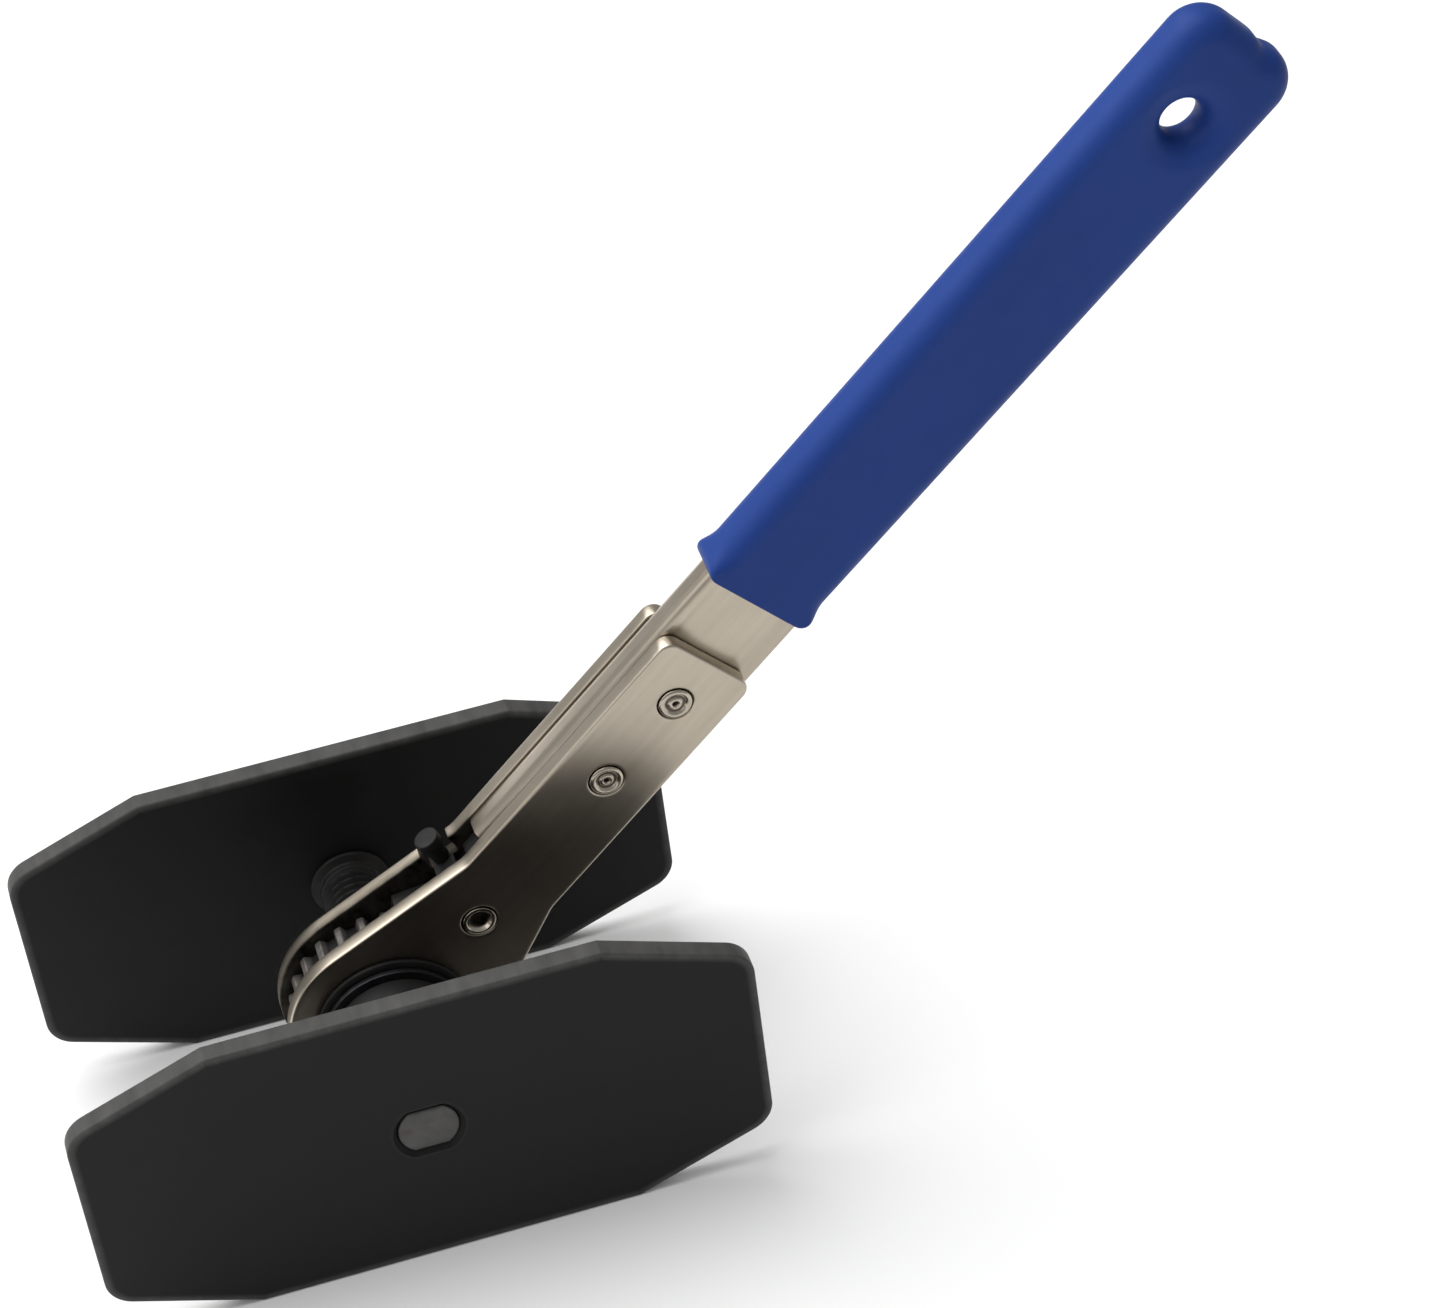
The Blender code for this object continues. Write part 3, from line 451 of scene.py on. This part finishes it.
def makeScrew(name, plate, outward, body, screw):
    # turned about its axis: domed set end, seat, helical thread, chamfer and bore
    low, high = nodeSpan(name, screwAxes)
    plateLow, plateHigh = nodeSpan(plate, screwAxes)
    seat = plateHigh[1] if outward < 0 else plateLow[1]
    length = abs((high[1] if outward < 0 else low[1]) - seat)
    thickness = plateHigh[1] - plateLow[1]
    crest = screw["crest"]
    turn = np.linspace(0, 2 * math.pi, 192, endpoint=False)
    blank = doubleD(turn, setEndShape["radius"], setEndShape["flats"])
    face, rim = -(thickness - setEndShape["step"]), setEndShape["round"]
    shares = np.linspace(0.1, 0.92, 9)
    radii = [share * blank for share in shares]
    heights = [face - setEndShape["dome"] * (1 - share**2) for share in shares]
    for bend in np.linspace(0, math.pi / 2, 5):
        radii.append(blank - rim * (1 - math.sin(bend)))
        heights.append(face + rim * (1 - math.cos(bend)))
    radii.append(blank)
    heights.append(screw["seat"][0][1])
    radii += [np.full(len(turn), radius) for radius, _ in screw["seat"]]
    heights += [height for _, height in screw["seat"]]
    shank = np.arange(screw["seat"][-1][1] + 0.0002, length, screw["lead"] / 14)
    shank = np.append(shank, length)
    limit = crest - screw["chamfer"] + (length - shank)
    radii += list(np.minimum(threadRadius(turn, shank, crest, screw), limit[:, None]))
    heights += list(shank)
    radii += [np.full(len(turn), radius) for radius, _ in screw["bore"](length)]
    heights += [height for _, height in screw["bore"](length)]
    points, faces = turnedSurface(np.array(radii), np.array(heights))
    points[:, 1] = seat + points[:, 1] * -outward
    piece = makePiece(
        name + "_threaded", toWorld(points, screwAxes), faces, blackOxide, body, [name],
        sharp=50,
    )
    paintSetEnd(piece, headCentre[1] + seat + outward * thickness / 2)


def paintSetEnd(piece, middle):
    # faces of the screw that lie beyond the middle of its plate take the rubbed finish
    piece.data.materials.append(setEnd)
    centres = np.empty(len(piece.data.polygons) * 3)
    piece.data.polygons.foreach_get("center", centres)
    depth = centres.reshape(-1, 3)[:, 1] - middle
    outside = depth * math.copysign(1, middle - headCentre[1]) > 0
    piece.data.polygons.foreach_set("material_index", outside.astype(int))


frontScrew = {
    "crest": 0.0100, "lead": 0.002, "hand": -1, "depth": 0.0011, "plain": 0.0030, "chamfer": 0.0012,
    "seat": [(0.0098, 0.0003), (0.0100, 0.0005), (0.0100, 0.0026)],
    "bore": lambda length: [(0.0082, length), (0.0077, length - 0.0005), (0.0076, length - 0.001),
                            (0.0076, length - 0.019)],
}
backScrew = {
    "crest": 0.0070, "lead": 0.002, "hand": 1, "depth": 0.0011, "plain": 0.0026, "chamfer": 0.0012,
    "seat": [(0.0083, 0.0003), (0.0086, 0.0006), (0.0086, 0.0011), (0.0083, 0.0014), (0.0068, 0.0014),
             (0.0064, 0.0018), (0.0064, 0.0024), (0.0070, 0.0028)],
    "bore": lambda length: [(0.0040, length)],
}
makePlate("front_plate", -1, "front_press")
makePlate("back_plate", 1, "back_press")
makeScrew("front_screw", "front_plate", -1, "front_press", frontScrew)
makeScrew("back_screw", "back_plate", 1, "back_press", backScrew)
print("plates and screws ready")


gearShape = {
    "teeth": 24, "tip": 0.0199, "root": 0.0180, "tipHalf": 2.0, "rootHalf": 4.6, "columnsPerTooth": 20,
    "hub": 0.013, "groove": 0.012, "wideBore": 0.0103, "narrowBore": 0.0073, "bevel": 0.0003, "chamfer": 0.0009,
    "cheekGap": 0.0004, "ringGap": 0.0003, "webStep": 0.0025, "stepEnd": 0.0102, "stepStart": 0.0096,
    "wearReach": 0.0016,
}


def toothRadius(turn):
    # the nearest tooth's straight flank between the root and tip circles, one gap on the handle's line
    pitch = 2 * math.pi / gearShape["teeth"]
    away = np.degrees(np.abs((turn % pitch) - pitch / 2))
    share = (gearShape["rootHalf"] - away) / (gearShape["rootHalf"] - gearShape["tipHalf"])
    return gearShape["root"] + (gearShape["tip"] - gearShape["root"]) * np.clip(share, 0, 1)


def grooveRows(ring, hub):
    # the hub's wall down into a snap ring's groove and out again
    low, high = (nodeSpan(ring, handleAxes)[k][1] for k in (0, 1))
    gap, groove = gearShape["ringGap"], gearShape["groove"]
    return [(hub, low - gap), (groove, low - gap), (groove, high + gap), (hub, high + gap)]


def makeGear():
    # toothed rim and hub in one turn about the axis, whose radius varies with the angle at the teeth
    g = gearShape
    low, high = nodeSpan("ratchet_gear", handleAxes)
    rim = nodeSpan("back_cheek", handleAxes)[0][1] - g["cheekGap"]
    columns = g["teeth"] * g["columnsPerTooth"]
    tooth = toothRadius(np.linspace(0, 2 * math.pi, columns, endpoint=False))
    hub, bevel, cut, step = g["hub"], g["bevel"], g["chamfer"], g["webStep"]
    front = [(g["wideBore"] + cut / 2, low[1]), (hub - cut, low[1]), (hub - cut * 0.3, low[1] + cut * 0.3),
             (hub, low[1] + cut)]
    front += grooveRows("front_retaining_ring", hub) + [(hub, -rim)]
    teeth = [(step, -rim), (bevel, -rim), (bevel * 0.3, -rim + bevel * 0.3), (0, -rim + bevel), (0, 0),
             (0, rim - bevel), (bevel * 0.3, rim - bevel * 0.3), (bevel, rim), (step, rim)]
    back = [(hub, rim)] + grooveRows("back_retaining_ring", hub)
    back += [(hub, high[1] - cut), (hub - cut * 0.3, high[1] - cut * 0.3), (hub - cut, high[1]),
             (g["narrowBore"] + cut, high[1]), (g["narrowBore"], high[1] - cut),
             (g["narrowBore"], g["stepEnd"]), (g["wideBore"], g["stepStart"]),
             (g["wideBore"], low[1] + cut / 2)]
    radii = [np.full(columns, radius) for radius, _ in front]
    radii += [tooth - inset for inset, _ in teeth]
    radii += [np.full(columns, radius) for radius, _ in back]
    heights = [height for _, height in front + teeth + back]
    points, faces = turnedSurface(np.array(radii), np.array(heights), closed=True)
    points = points[:, [2, 1, 0]]
    wear = np.clip((np.hypot(points[:, 0], points[:, 2]) - g["root"]) / g["wearReach"], 0, 1)
    makePiece("gear_cut", toWorld(points, handleAxes), faces, blackOxide, "gear", ["ratchet_gear"],
              edge=wear, sharp=28)


washerShape = {"inner": 0.0133, "cut": 0.00025}


def makeHubWasher(name):
    # a flat ring with small chamfers, turned about the hub
    low, high = nodeSpan(name, handleAxes)
    inner, outer, cut = washerShape["inner"], high[0], washerShape["cut"]
    profile = [(outer, high[1] - cut), (outer, low[1] + cut), (outer - cut, low[1]), (inner + cut, low[1]),
               (inner, low[1] + cut), (inner, high[1] - cut), (inner + cut, high[1]), (outer - cut, high[1])]
    points, faces = plainTurned(profile, 120, closed=True)
    makePiece(name + "_turned", toWorld(points, handleAxes), faces, blackOxide, "hub_washers", [name],
              sharp=50)


ringShape = {"inner": 0.0123, "opening": 34.0, "edgeRound": 0.00015, "margin": 0.0002}


def makeRetainingRing(name):
    # a flat sprung ring with rounded ends at its opening
    low, high = nodeSpan(name, handleAxes)
    outer, inner = high[2], ringShape["inner"]
    first, last = -90 + ringShape["opening"] / 2, 270 - ringShape["opening"] / 2
    middle, half = (outer + inner) / 2, (outer - inner) / 2
    ends = [arc(arc((0, 0), middle, angle, angle, 1)[0], half, angle + turn, angle + turn + 180, 12)
            for angle, turn in ((last, 0), (first, 180))]
    outline = np.concatenate([
        arc((0, 0), outer, first, last, 90)[1:-1], ends[0], arc((0, 0), inner, last, first, 80)[1:-1], ends[1]])
    rows = edgeRows(low[1], high[1], ringShape["edgeRound"], ringShape["edgeRound"], ringShape["margin"], 2)
    points, faces, flat, _ = slabSurface(outline, [], rows, [])
    makePiece(name + "_sprung", toWorld(points, handleAxes), faces, bluedSteel, "gear", [name],
              flat)


makeGear()
for side in ("front", "back"):
    makeHubWasher(side + "_hub_washer")
    makeRetainingRing(side + "_retaining_ring")
print("gear ready")


cheekShape = {
    "head": 0.0216, "taper": 15.5, "strap": 0.0116, "corner": 0.0030, "bend": 0.0080, "outerRound": 0.0006,
    "innerRound": 0.0003, "margin": 0.0008, "hubHole": 0.0133, "pinHole": 0.0038, "rivetHole": 0.0037,
    "notchWidth": 0.0070, "notchDepth": 0.0041, "notchMouth": 0.0002, "notchRound": 0.0006, "stemLean": 20.5,
    "holeOuterRound": 0.0004, "holeInnerRound": 0.0001, "holeMargin": 0.0004,
}
# reach and fade of the cheeks' painted shade
paintedShadeShape = {"pastChannel": 0.003, "fade": 0.005, "inside": 0.0006, "insideFade": 0.0004, "notchReach": 0.75,
              "notchLow": 0.005, "notchEdge": 0.0003, "notchFade": 0.0005}
rivetPlaces = {n: float(sum(s[0] for s in nodeSpan(n, handleAxes)) / 2) for n in ("lower_rivet", "upper_rivet")}


def notchCorners():
    # a square notch where the selector's stem crosses the tapering edge
    lean, stem = math.radians(cheekShape["taper"]), math.radians(cheekShape["stemLean"])
    reach = (cheekShape["head"] - pawlPlace * math.sin(lean)) / math.cos(stem - lean)
    crossing = Vector((pawlPlace + reach * math.sin(stem), reach * math.cos(stem)))
    along = Vector((math.cos(lean), -math.sin(lean))) * cheekShape["notchWidth"] / 2
    down = Vector((math.sin(lean), math.cos(lean))) * -cheekShape["notchDepth"]
    mouth, bottom = cheekShape["notchMouth"], cheekShape["notchRound"]
    return [(*(crossing + along), mouth), (*(crossing + along + down), bottom),
            (*(crossing - along + down), bottom), (*(crossing - along), mouth)]


def cheekPaintedShade(points, inner, side):
    # painted shade darkens the face next to the gear, up to the channel, and the walls of the selector's notch
    g = paintedShadeShape
    channelStart = nodeSpan("handle_channel", handleAxes)[0][0]
    head = eased((channelStart + g["pastChannel"] - points[:, 0]) / g["fade"])
    inside = head * eased((g["inside"] - np.abs(points[:, 1] - inner)) / g["insideFade"])
    if side < 0:
        return inside
    lean = math.radians(cheekShape["taper"])
    edge = cheekShape["head"] - points[:, 0] * math.sin(lean) - points[:, 2] * math.cos(lean)
    corners = notchCorners()
    middle = (corners[1][0] + corners[2][0]) / 2
    nearNotch = np.abs(points[:, 0] - middle) < cheekShape["notchWidth"] * g["notchReach"]
    nearNotch = nearNotch * (points[:, 2] > g["notchLow"])
    return np.maximum(inside, nearNotch * eased((edge - g["notchEdge"]) / g["notchFade"]))


def makeCheek(name, side):
    # a round head joined to a straight strap by two tapering tangents, with rounded edges all round
    low, high = nodeSpan(name, handleAxes)
    head, strap, end = cheekShape["head"], cheekShape["strap"], high[0]
    lean = math.radians(cheekShape["taper"])
    leave = (head * math.sin(lean), head * math.cos(lean))
    bend = leave[0] + (leave[1] - strap) / math.tan(lean)
    corners = [(bend, -strap, cheekShape["bend"]), (end, -strap, cheekShape["corner"]),
               (end, strap, cheekShape["corner"]), (bend, strap, cheekShape["bend"])]
    if side > 0:
        corners += notchCorners()
    headArc = arc((0, 0), head, 90 - cheekShape["taper"], 270 + cheekShape["taper"], 90)
    closing = [(*headArc[0], 1e-5), (*headArc[-1], 1e-5)]
    straight = roundedLoop(closing[1:] + corners + closing[:1])
    outline = np.concatenate([straight[4:-4], headArc])
    holes = [circle((0, 0), cheekShape["hubHole"], 120), circle((pawlPlace, 0), cheekShape["pinHole"])]
    holes += [circle((place, 0), cheekShape["rivetHole"]) for place in rivetPlaces.values()]
    near, far = (low[1], high[1]) if side < 0 else (high[1], low[1])
    rows = edgeRows(near, far, cheekShape["outerRound"], cheekShape["innerRound"], cheekShape["margin"])
    holeRows = edgeRows(near, far, cheekShape["holeOuterRound"], cheekShape["holeInnerRound"],
                        cheekShape["holeMargin"], 3)
    points, faces, flat, _ = slabSurface(evenLoop(outline, 0.003), holes, rows, [holeRows] * len(holes))
    # the edge attribute carries the cheek's painted shade
    makePiece(name + "_stamped", toWorld(points, handleAxes), faces, satinNickel, "handle", [name],
              flat, cheekPaintedShade(points, far, side))


def carve(piece, cutters):
    # cuts closed helper meshes out of a piece and leaves a plain mesh
    for cutter in cutters:
        cut = piece.modifiers.new("cut", "BOOLEAN")
        cut.operation = "DIFFERENCE"
        cut.object = cutter
    bpy.context.view_layer.update()
    done = bpy.data.meshes.new_from_object(piece.evaluated_get(bpy.context.evaluated_depsgraph_get()))
    piece.modifiers.clear()
    piece.data = done
    for cutter in cutters:
        bpy.data.objects.remove(cutter, do_unlink=True)


def crossCylinder(place, radius, reach):
    # a closed cylinder across the handle, as a helper
    points, faces = plainTurned([(radius, reach), (radius, -reach)], 96)
    points[:, 0] += place
    mesh = bpy.data.meshes.new("cutter")
    mesh.from_pydata(toWorld(points, handleAxes).tolist(), [], [list(map(int, f)) for f in faces])
    work = bmesh.new()
    work.from_mesh(mesh)
    bmesh.ops.recalc_face_normals(work, faces=work.faces)
    work.to_mesh(mesh)
    work.free()
    cutter = bpy.data.objects.new("cutter", mesh)
    bpy.context.scene.collection.objects.link(cutter)
    return cutter


channelShape = {"wall": 0.0015, "bend": 0.0024, "lip": 0.0003, "endRound": 0.0003, "rivetHole": 0.0031}


def makeChannel(holePlace, holeSeat):
    # a folded strip: its section, a rounded U, is carried along the handle
    low, high = nodeSpan("handle_channel", handleAxes)
    depth, width, wall, bend = high[1], high[2], channelShape["wall"], channelShape["bend"]
    tight, lip = bend - wall, channelShape["lip"]
    section = roundedLoop([
        (-depth, -width, lip), (-depth + wall, -width, lip), (-depth + wall, width - wall, tight),
        (depth - wall, width - wall, tight), (depth - wall, -width, lip), (depth, -width, lip),
        (depth, width, bend), (-depth, width, bend),
    ], 0.0002)
    rows = edgeRows(low[0], high[0], channelShape["endRound"], channelShape["endRound"], 0.0001, 2)
    points, faces, flat, _ = slabSurface(section, [], rows, [])
    points = points[:, [1, 0, 2]]
    channel = makePiece("channel_folded", toWorld(points, handleAxes), faces, satinNickel, "handle",
                        ["handle_channel"], flat)
    places = [(place, channelShape["rivetHole"]) for place in rivetPlaces.values()] + [(holePlace, holeSeat)]
    carve(channel, [crossCylinder(place, radius, 2 * depth) for place, radius in places])


rivetShape = {"head": 0.0035, "neck": 0.0029, "rise": 0.00045, "dish": 0.00075, "boss": 0.00025, "pit": 0.0004,
              "groove": 0.0004, "soft": 0.0003}
pinShape = {"head": 0.0035, "neck": 0.0030, "rise": 0.00030, "bowl": 0.0024, "bowlDepth": 0.0014,
            "groove": 0.0007, "soft": 0.0003}


def makeRivet(name, place, shape, faceDepth):
    # a set pin with the same dished head at both ends
    top = faceDepth + shape["rise"]
    if "bowl" in shape:
        half = [(0.0006, top - shape["bowlDepth"]), (shape["bowl"] * 0.75, top - shape["bowlDepth"] * 0.95),
                (shape["bowl"], top - shape["bowlDepth"] * 0.35), (shape["bowl"] + 0.0004, top)]
    else:
        half = [(0.0001, top - shape["dish"] * 1.5), (shape["pit"], top - shape["dish"] * 1.4),
                (shape["pit"] + 0.0003, top - shape["boss"]), (shape["head"] * 0.36, top - shape["boss"]),
                (shape["head"] * 0.52, top - shape["dish"]), (shape["head"] * 0.66, top - shape["dish"] * 0.3),
                (shape["head"] * 0.84, top)]
    half += [(shape["head"], top - shape["rise"] * 0.8), (shape["head"] * 0.985, faceDepth - 0.0003),
             (shape["neck"], faceDepth - 0.0008)]
    half = softProfile(half, shape["soft"])
    points, faces = plainTurned(half + [(r, -h) for r, h in reversed(half)])
    # painted shade: points deeper than the groove depth below the head's top, in the dish, the pit and under
    # the head, are darkened through the edge attribute
    deep = eased((top - shape["groove"] - np.abs(points[:, 1])) / shape["soft"])
    points[:, 0] += place
    makePiece(name + "_set", toWorld(points, handleAxes), faces, rivetNickel, "handle", [name],
              edge=deep, sharp=60)


gripShape = {
    "narrowing": 0.0007, "round": 0.0048, "mouthRound": 0.0008, "mouthReach": 0.007, "farCorner": 0.0078,
    "nearCorner": 0.0030, "dip": 0.0007, "dipPlace": -0.0032, "dipWidth": 0.0020, "hole": 0.0040,
    "holePlace": 0.2458, "channelClearance": 0.0037, "rim": 0.0032, "rimDepth": 0.0045, "dishWidth": 0.0062,
}


def makeGrip():
    # a slab with deeply rounded edges, squarer at its mouth, and a soft dish round the hanging hole
    g = gripShape
    low, high = nodeSpan("handle_grip", handleAxes)
    start, end, half, far = low[0], high[0], high[1], high[2]
    near = far - g["narrowing"]
    outline = evenLoop(roundedLoop([
        (start, -near, g["nearCorner"]), (end, -far, g["farCorner"]),
        (end, far, g["farCorner"]), (start, near, g["nearCorner"]),
    ]), 0.0008)
    atEnd = outline[:, 0] > end - 0.002
    outline[:, 0] -= atEnd * g["dip"] * np.exp(-(((outline[:, 1] - g["dipPlace"]) / g["dipWidth"]) ** 2))
    bend = g["mouthRound"] + (g["round"] - g["mouthRound"]) * eased((outline[:, 0] - start) / g["mouthReach"])
    turn = np.linspace(0, math.pi / 2, 13)
    rows = [(bend * (1 - math.sin(a)), -half + bend * (1 - math.cos(a)), 0.0) for a in turn]
    rows += [(bend * (1 - math.cos(a)), half - bend * (1 - math.sin(a)), 0.0) for a in turn]
    hole = circle((g["holePlace"], 0), g["hole"], 96)
    # the hole's wall bulges inward as half an ellipse, then runs out into the dish on each face
    away = np.concatenate([g["rim"] * (1 - np.cos(np.linspace(0, math.pi / 2, 14))),
                           np.linspace(g["rim"], g["dishWidth"], 10)[1:]])
    rise = g["rimDepth"] * np.sqrt(1 - (1 - np.minimum(away / g["rim"], 1)) ** 2)
    rise += (half - g["rimDepth"]) * eased(away / g["dishWidth"])
    holeRows = [(w, -h, 0.0) for w, h in zip(away[::-1], rise[::-1])]
    holeRows += [(w, h, 0.0) for w, h in zip(away[1:], rise[1:])]
    points, faces, flat, _ = slabSurface(outline, [hole], rows, [holeRows])
    makePiece("grip_dipped", toWorld(points, handleAxes), faces, blueVinyl, "handle", ["handle_grip"],
              flat, sharp=50)


for side, name in ((-1, "front_cheek"), (1, "back_cheek")):
    makeCheek(name, side)
makeChannel(gripShape["holePlace"], gripShape["hole"] + gripShape["channelClearance"])
faceDepth = nodeSpan("back_cheek", handleAxes)[1][1]
for name, place in rivetPlaces.items():
    makeRivet(name, place, rivetShape, faceDepth)
makeRivet("pawl_pin", pawlPlace, pinShape, faceDepth)
makeGrip()
print("handle ready")


knobShape = {"radius": 0.0027, "neck": 0.0019, "bottom": 0.0151, "top": 0.0173, "foot": 0.0107, "round": 0.0004}


def makeKnob():
    # a button turned about the selector's leaning stem
    low, high = nodeSpan("selector_knob", handleAxes)
    lean = math.radians(cheekShape["stemLean"])
    k = knobShape
    profile = softProfile([(0.0004, k["top"]), (k["radius"], k["top"]), (k["radius"], k["bottom"]),
                           (k["neck"], k["bottom"]), (k["neck"], k["foot"]), (0.0004, k["foot"])], k["round"])
    points, faces = plainTurned(profile, 72)
    stem = np.array([[math.cos(lean), 0, -math.sin(lean)], [math.sin(lean), 0, math.cos(lean)], [0, 1, 0]])
    local = np.array([pawlPlace, (low[1] + high[1]) / 2, 0]) + points @ stem
    makePiece("knob_turned", toWorld(local, handleAxes), faces, blackOxide, "selector",
              ["selector_knob"], sharp=50)


makeKnob()
keptNodes = {
    "pawl": blackOxide, "detent_housing": blackOxide, "detent_plunger": bluedSteel, "detent_spring": bluedSteel,
    "upper_rivet_spacer": rivetNickel, "lower_rivet_spacer": rivetNickel,
}
for name, material in keptNodes.items():
    for place in frame["nodes"][name].material_slots:
        place.material = material
print("selector ready")


cameraPlace = {"aim": (0.0719, -0.0022, 0.1362), "distance": 0.7815, "azimuth": -10.96, "elevation": 39.68,
               "roll": -7.57, "lens": 104.1, "sensor": 36.0}
studio = {"floor": (0.90, 0.90, 0.90), "world": 0.37, "key": 40.0, "fill": 3.0}


def makeCamera():
    # placed on a sphere round the aim and rolled about its own line of sight
    c = cameraPlace
    azimuth, elevation = math.radians(c["azimuth"]), math.radians(c["elevation"])
    back = Vector((math.sin(azimuth) * math.cos(elevation), -math.cos(azimuth) * math.cos(elevation),
                   math.sin(elevation)))
    camera = bpy.data.objects.new("camera", bpy.data.cameras.new("camera"))
    camera.data.lens = c["lens"]
    camera.data.sensor_width = c["sensor"]
    camera.data.clip_start = 0.01
    turn = back.to_track_quat("Z", "Y").to_matrix().to_4x4() @ Matrix.Rotation(math.radians(c["roll"]), 4, "Z")
    camera.matrix_world = Matrix.Translation(Vector(c["aim"]) + back * c["distance"]) @ turn
    bpy.context.scene.collection.objects.link(camera)
    bpy.context.scene.camera = camera


def makeFloor():
    # a plain pale floor
    mesh = bpy.data.meshes.new("floor")
    reach = 6.0
    mesh.from_pydata([(-reach, -reach, 0), (reach, -reach, 0), (reach, reach, 0), (-reach, reach, 0)], [],
                     [(0, 1, 2, 3)])
    material, _, shader = newMaterial("paleFloor", specular=0.1)
    shader.inputs["Base Color"].default_value = (*studio["floor"], 1)
    shader.inputs["Roughness"].default_value = 0.9
    mesh.materials.append(material)
    floor = bpy.data.objects.new("floor", mesh)
    bpy.context.scene.collection.objects.link(floor)


def makeLight(name, place, aim, size, power):
    # a soft round light turned towards its aim
    light = bpy.data.lights.new(name, "AREA")
    light.shape = "DISK"
    light.size = size
    light.energy = power
    lamp = bpy.data.objects.new(name, light)
    lamp.location = place
    lamp.rotation_euler = (Vector(place) - Vector(aim)).to_track_quat("Z", "Y").to_euler()
    bpy.context.scene.collection.objects.link(lamp)


def makeWorld():
    # an even white surround
    world = bpy.data.worlds.new("studio")
    world.use_nodes = True
    shade = world.node_tree.nodes["Background"]
    shade.inputs["Color"].default_value = (1, 1, 1, 1)
    shade.inputs["Strength"].default_value = studio["world"]
    bpy.context.scene.world = world
    bpy.context.scene.view_settings.view_transform = "Standard"


makeCamera()
makeFloor()
makeLight("key", (-0.5, 0.5, 1.5), (0.05, 0.03, 0.08), 2.2, studio["key"])
makeLight("fill", (-1.2, -0.6, 0.9), (0.05, 0.03, 0.08), 1.0, studio["fill"])
makeWorld()
print("camera, floor and light ready")
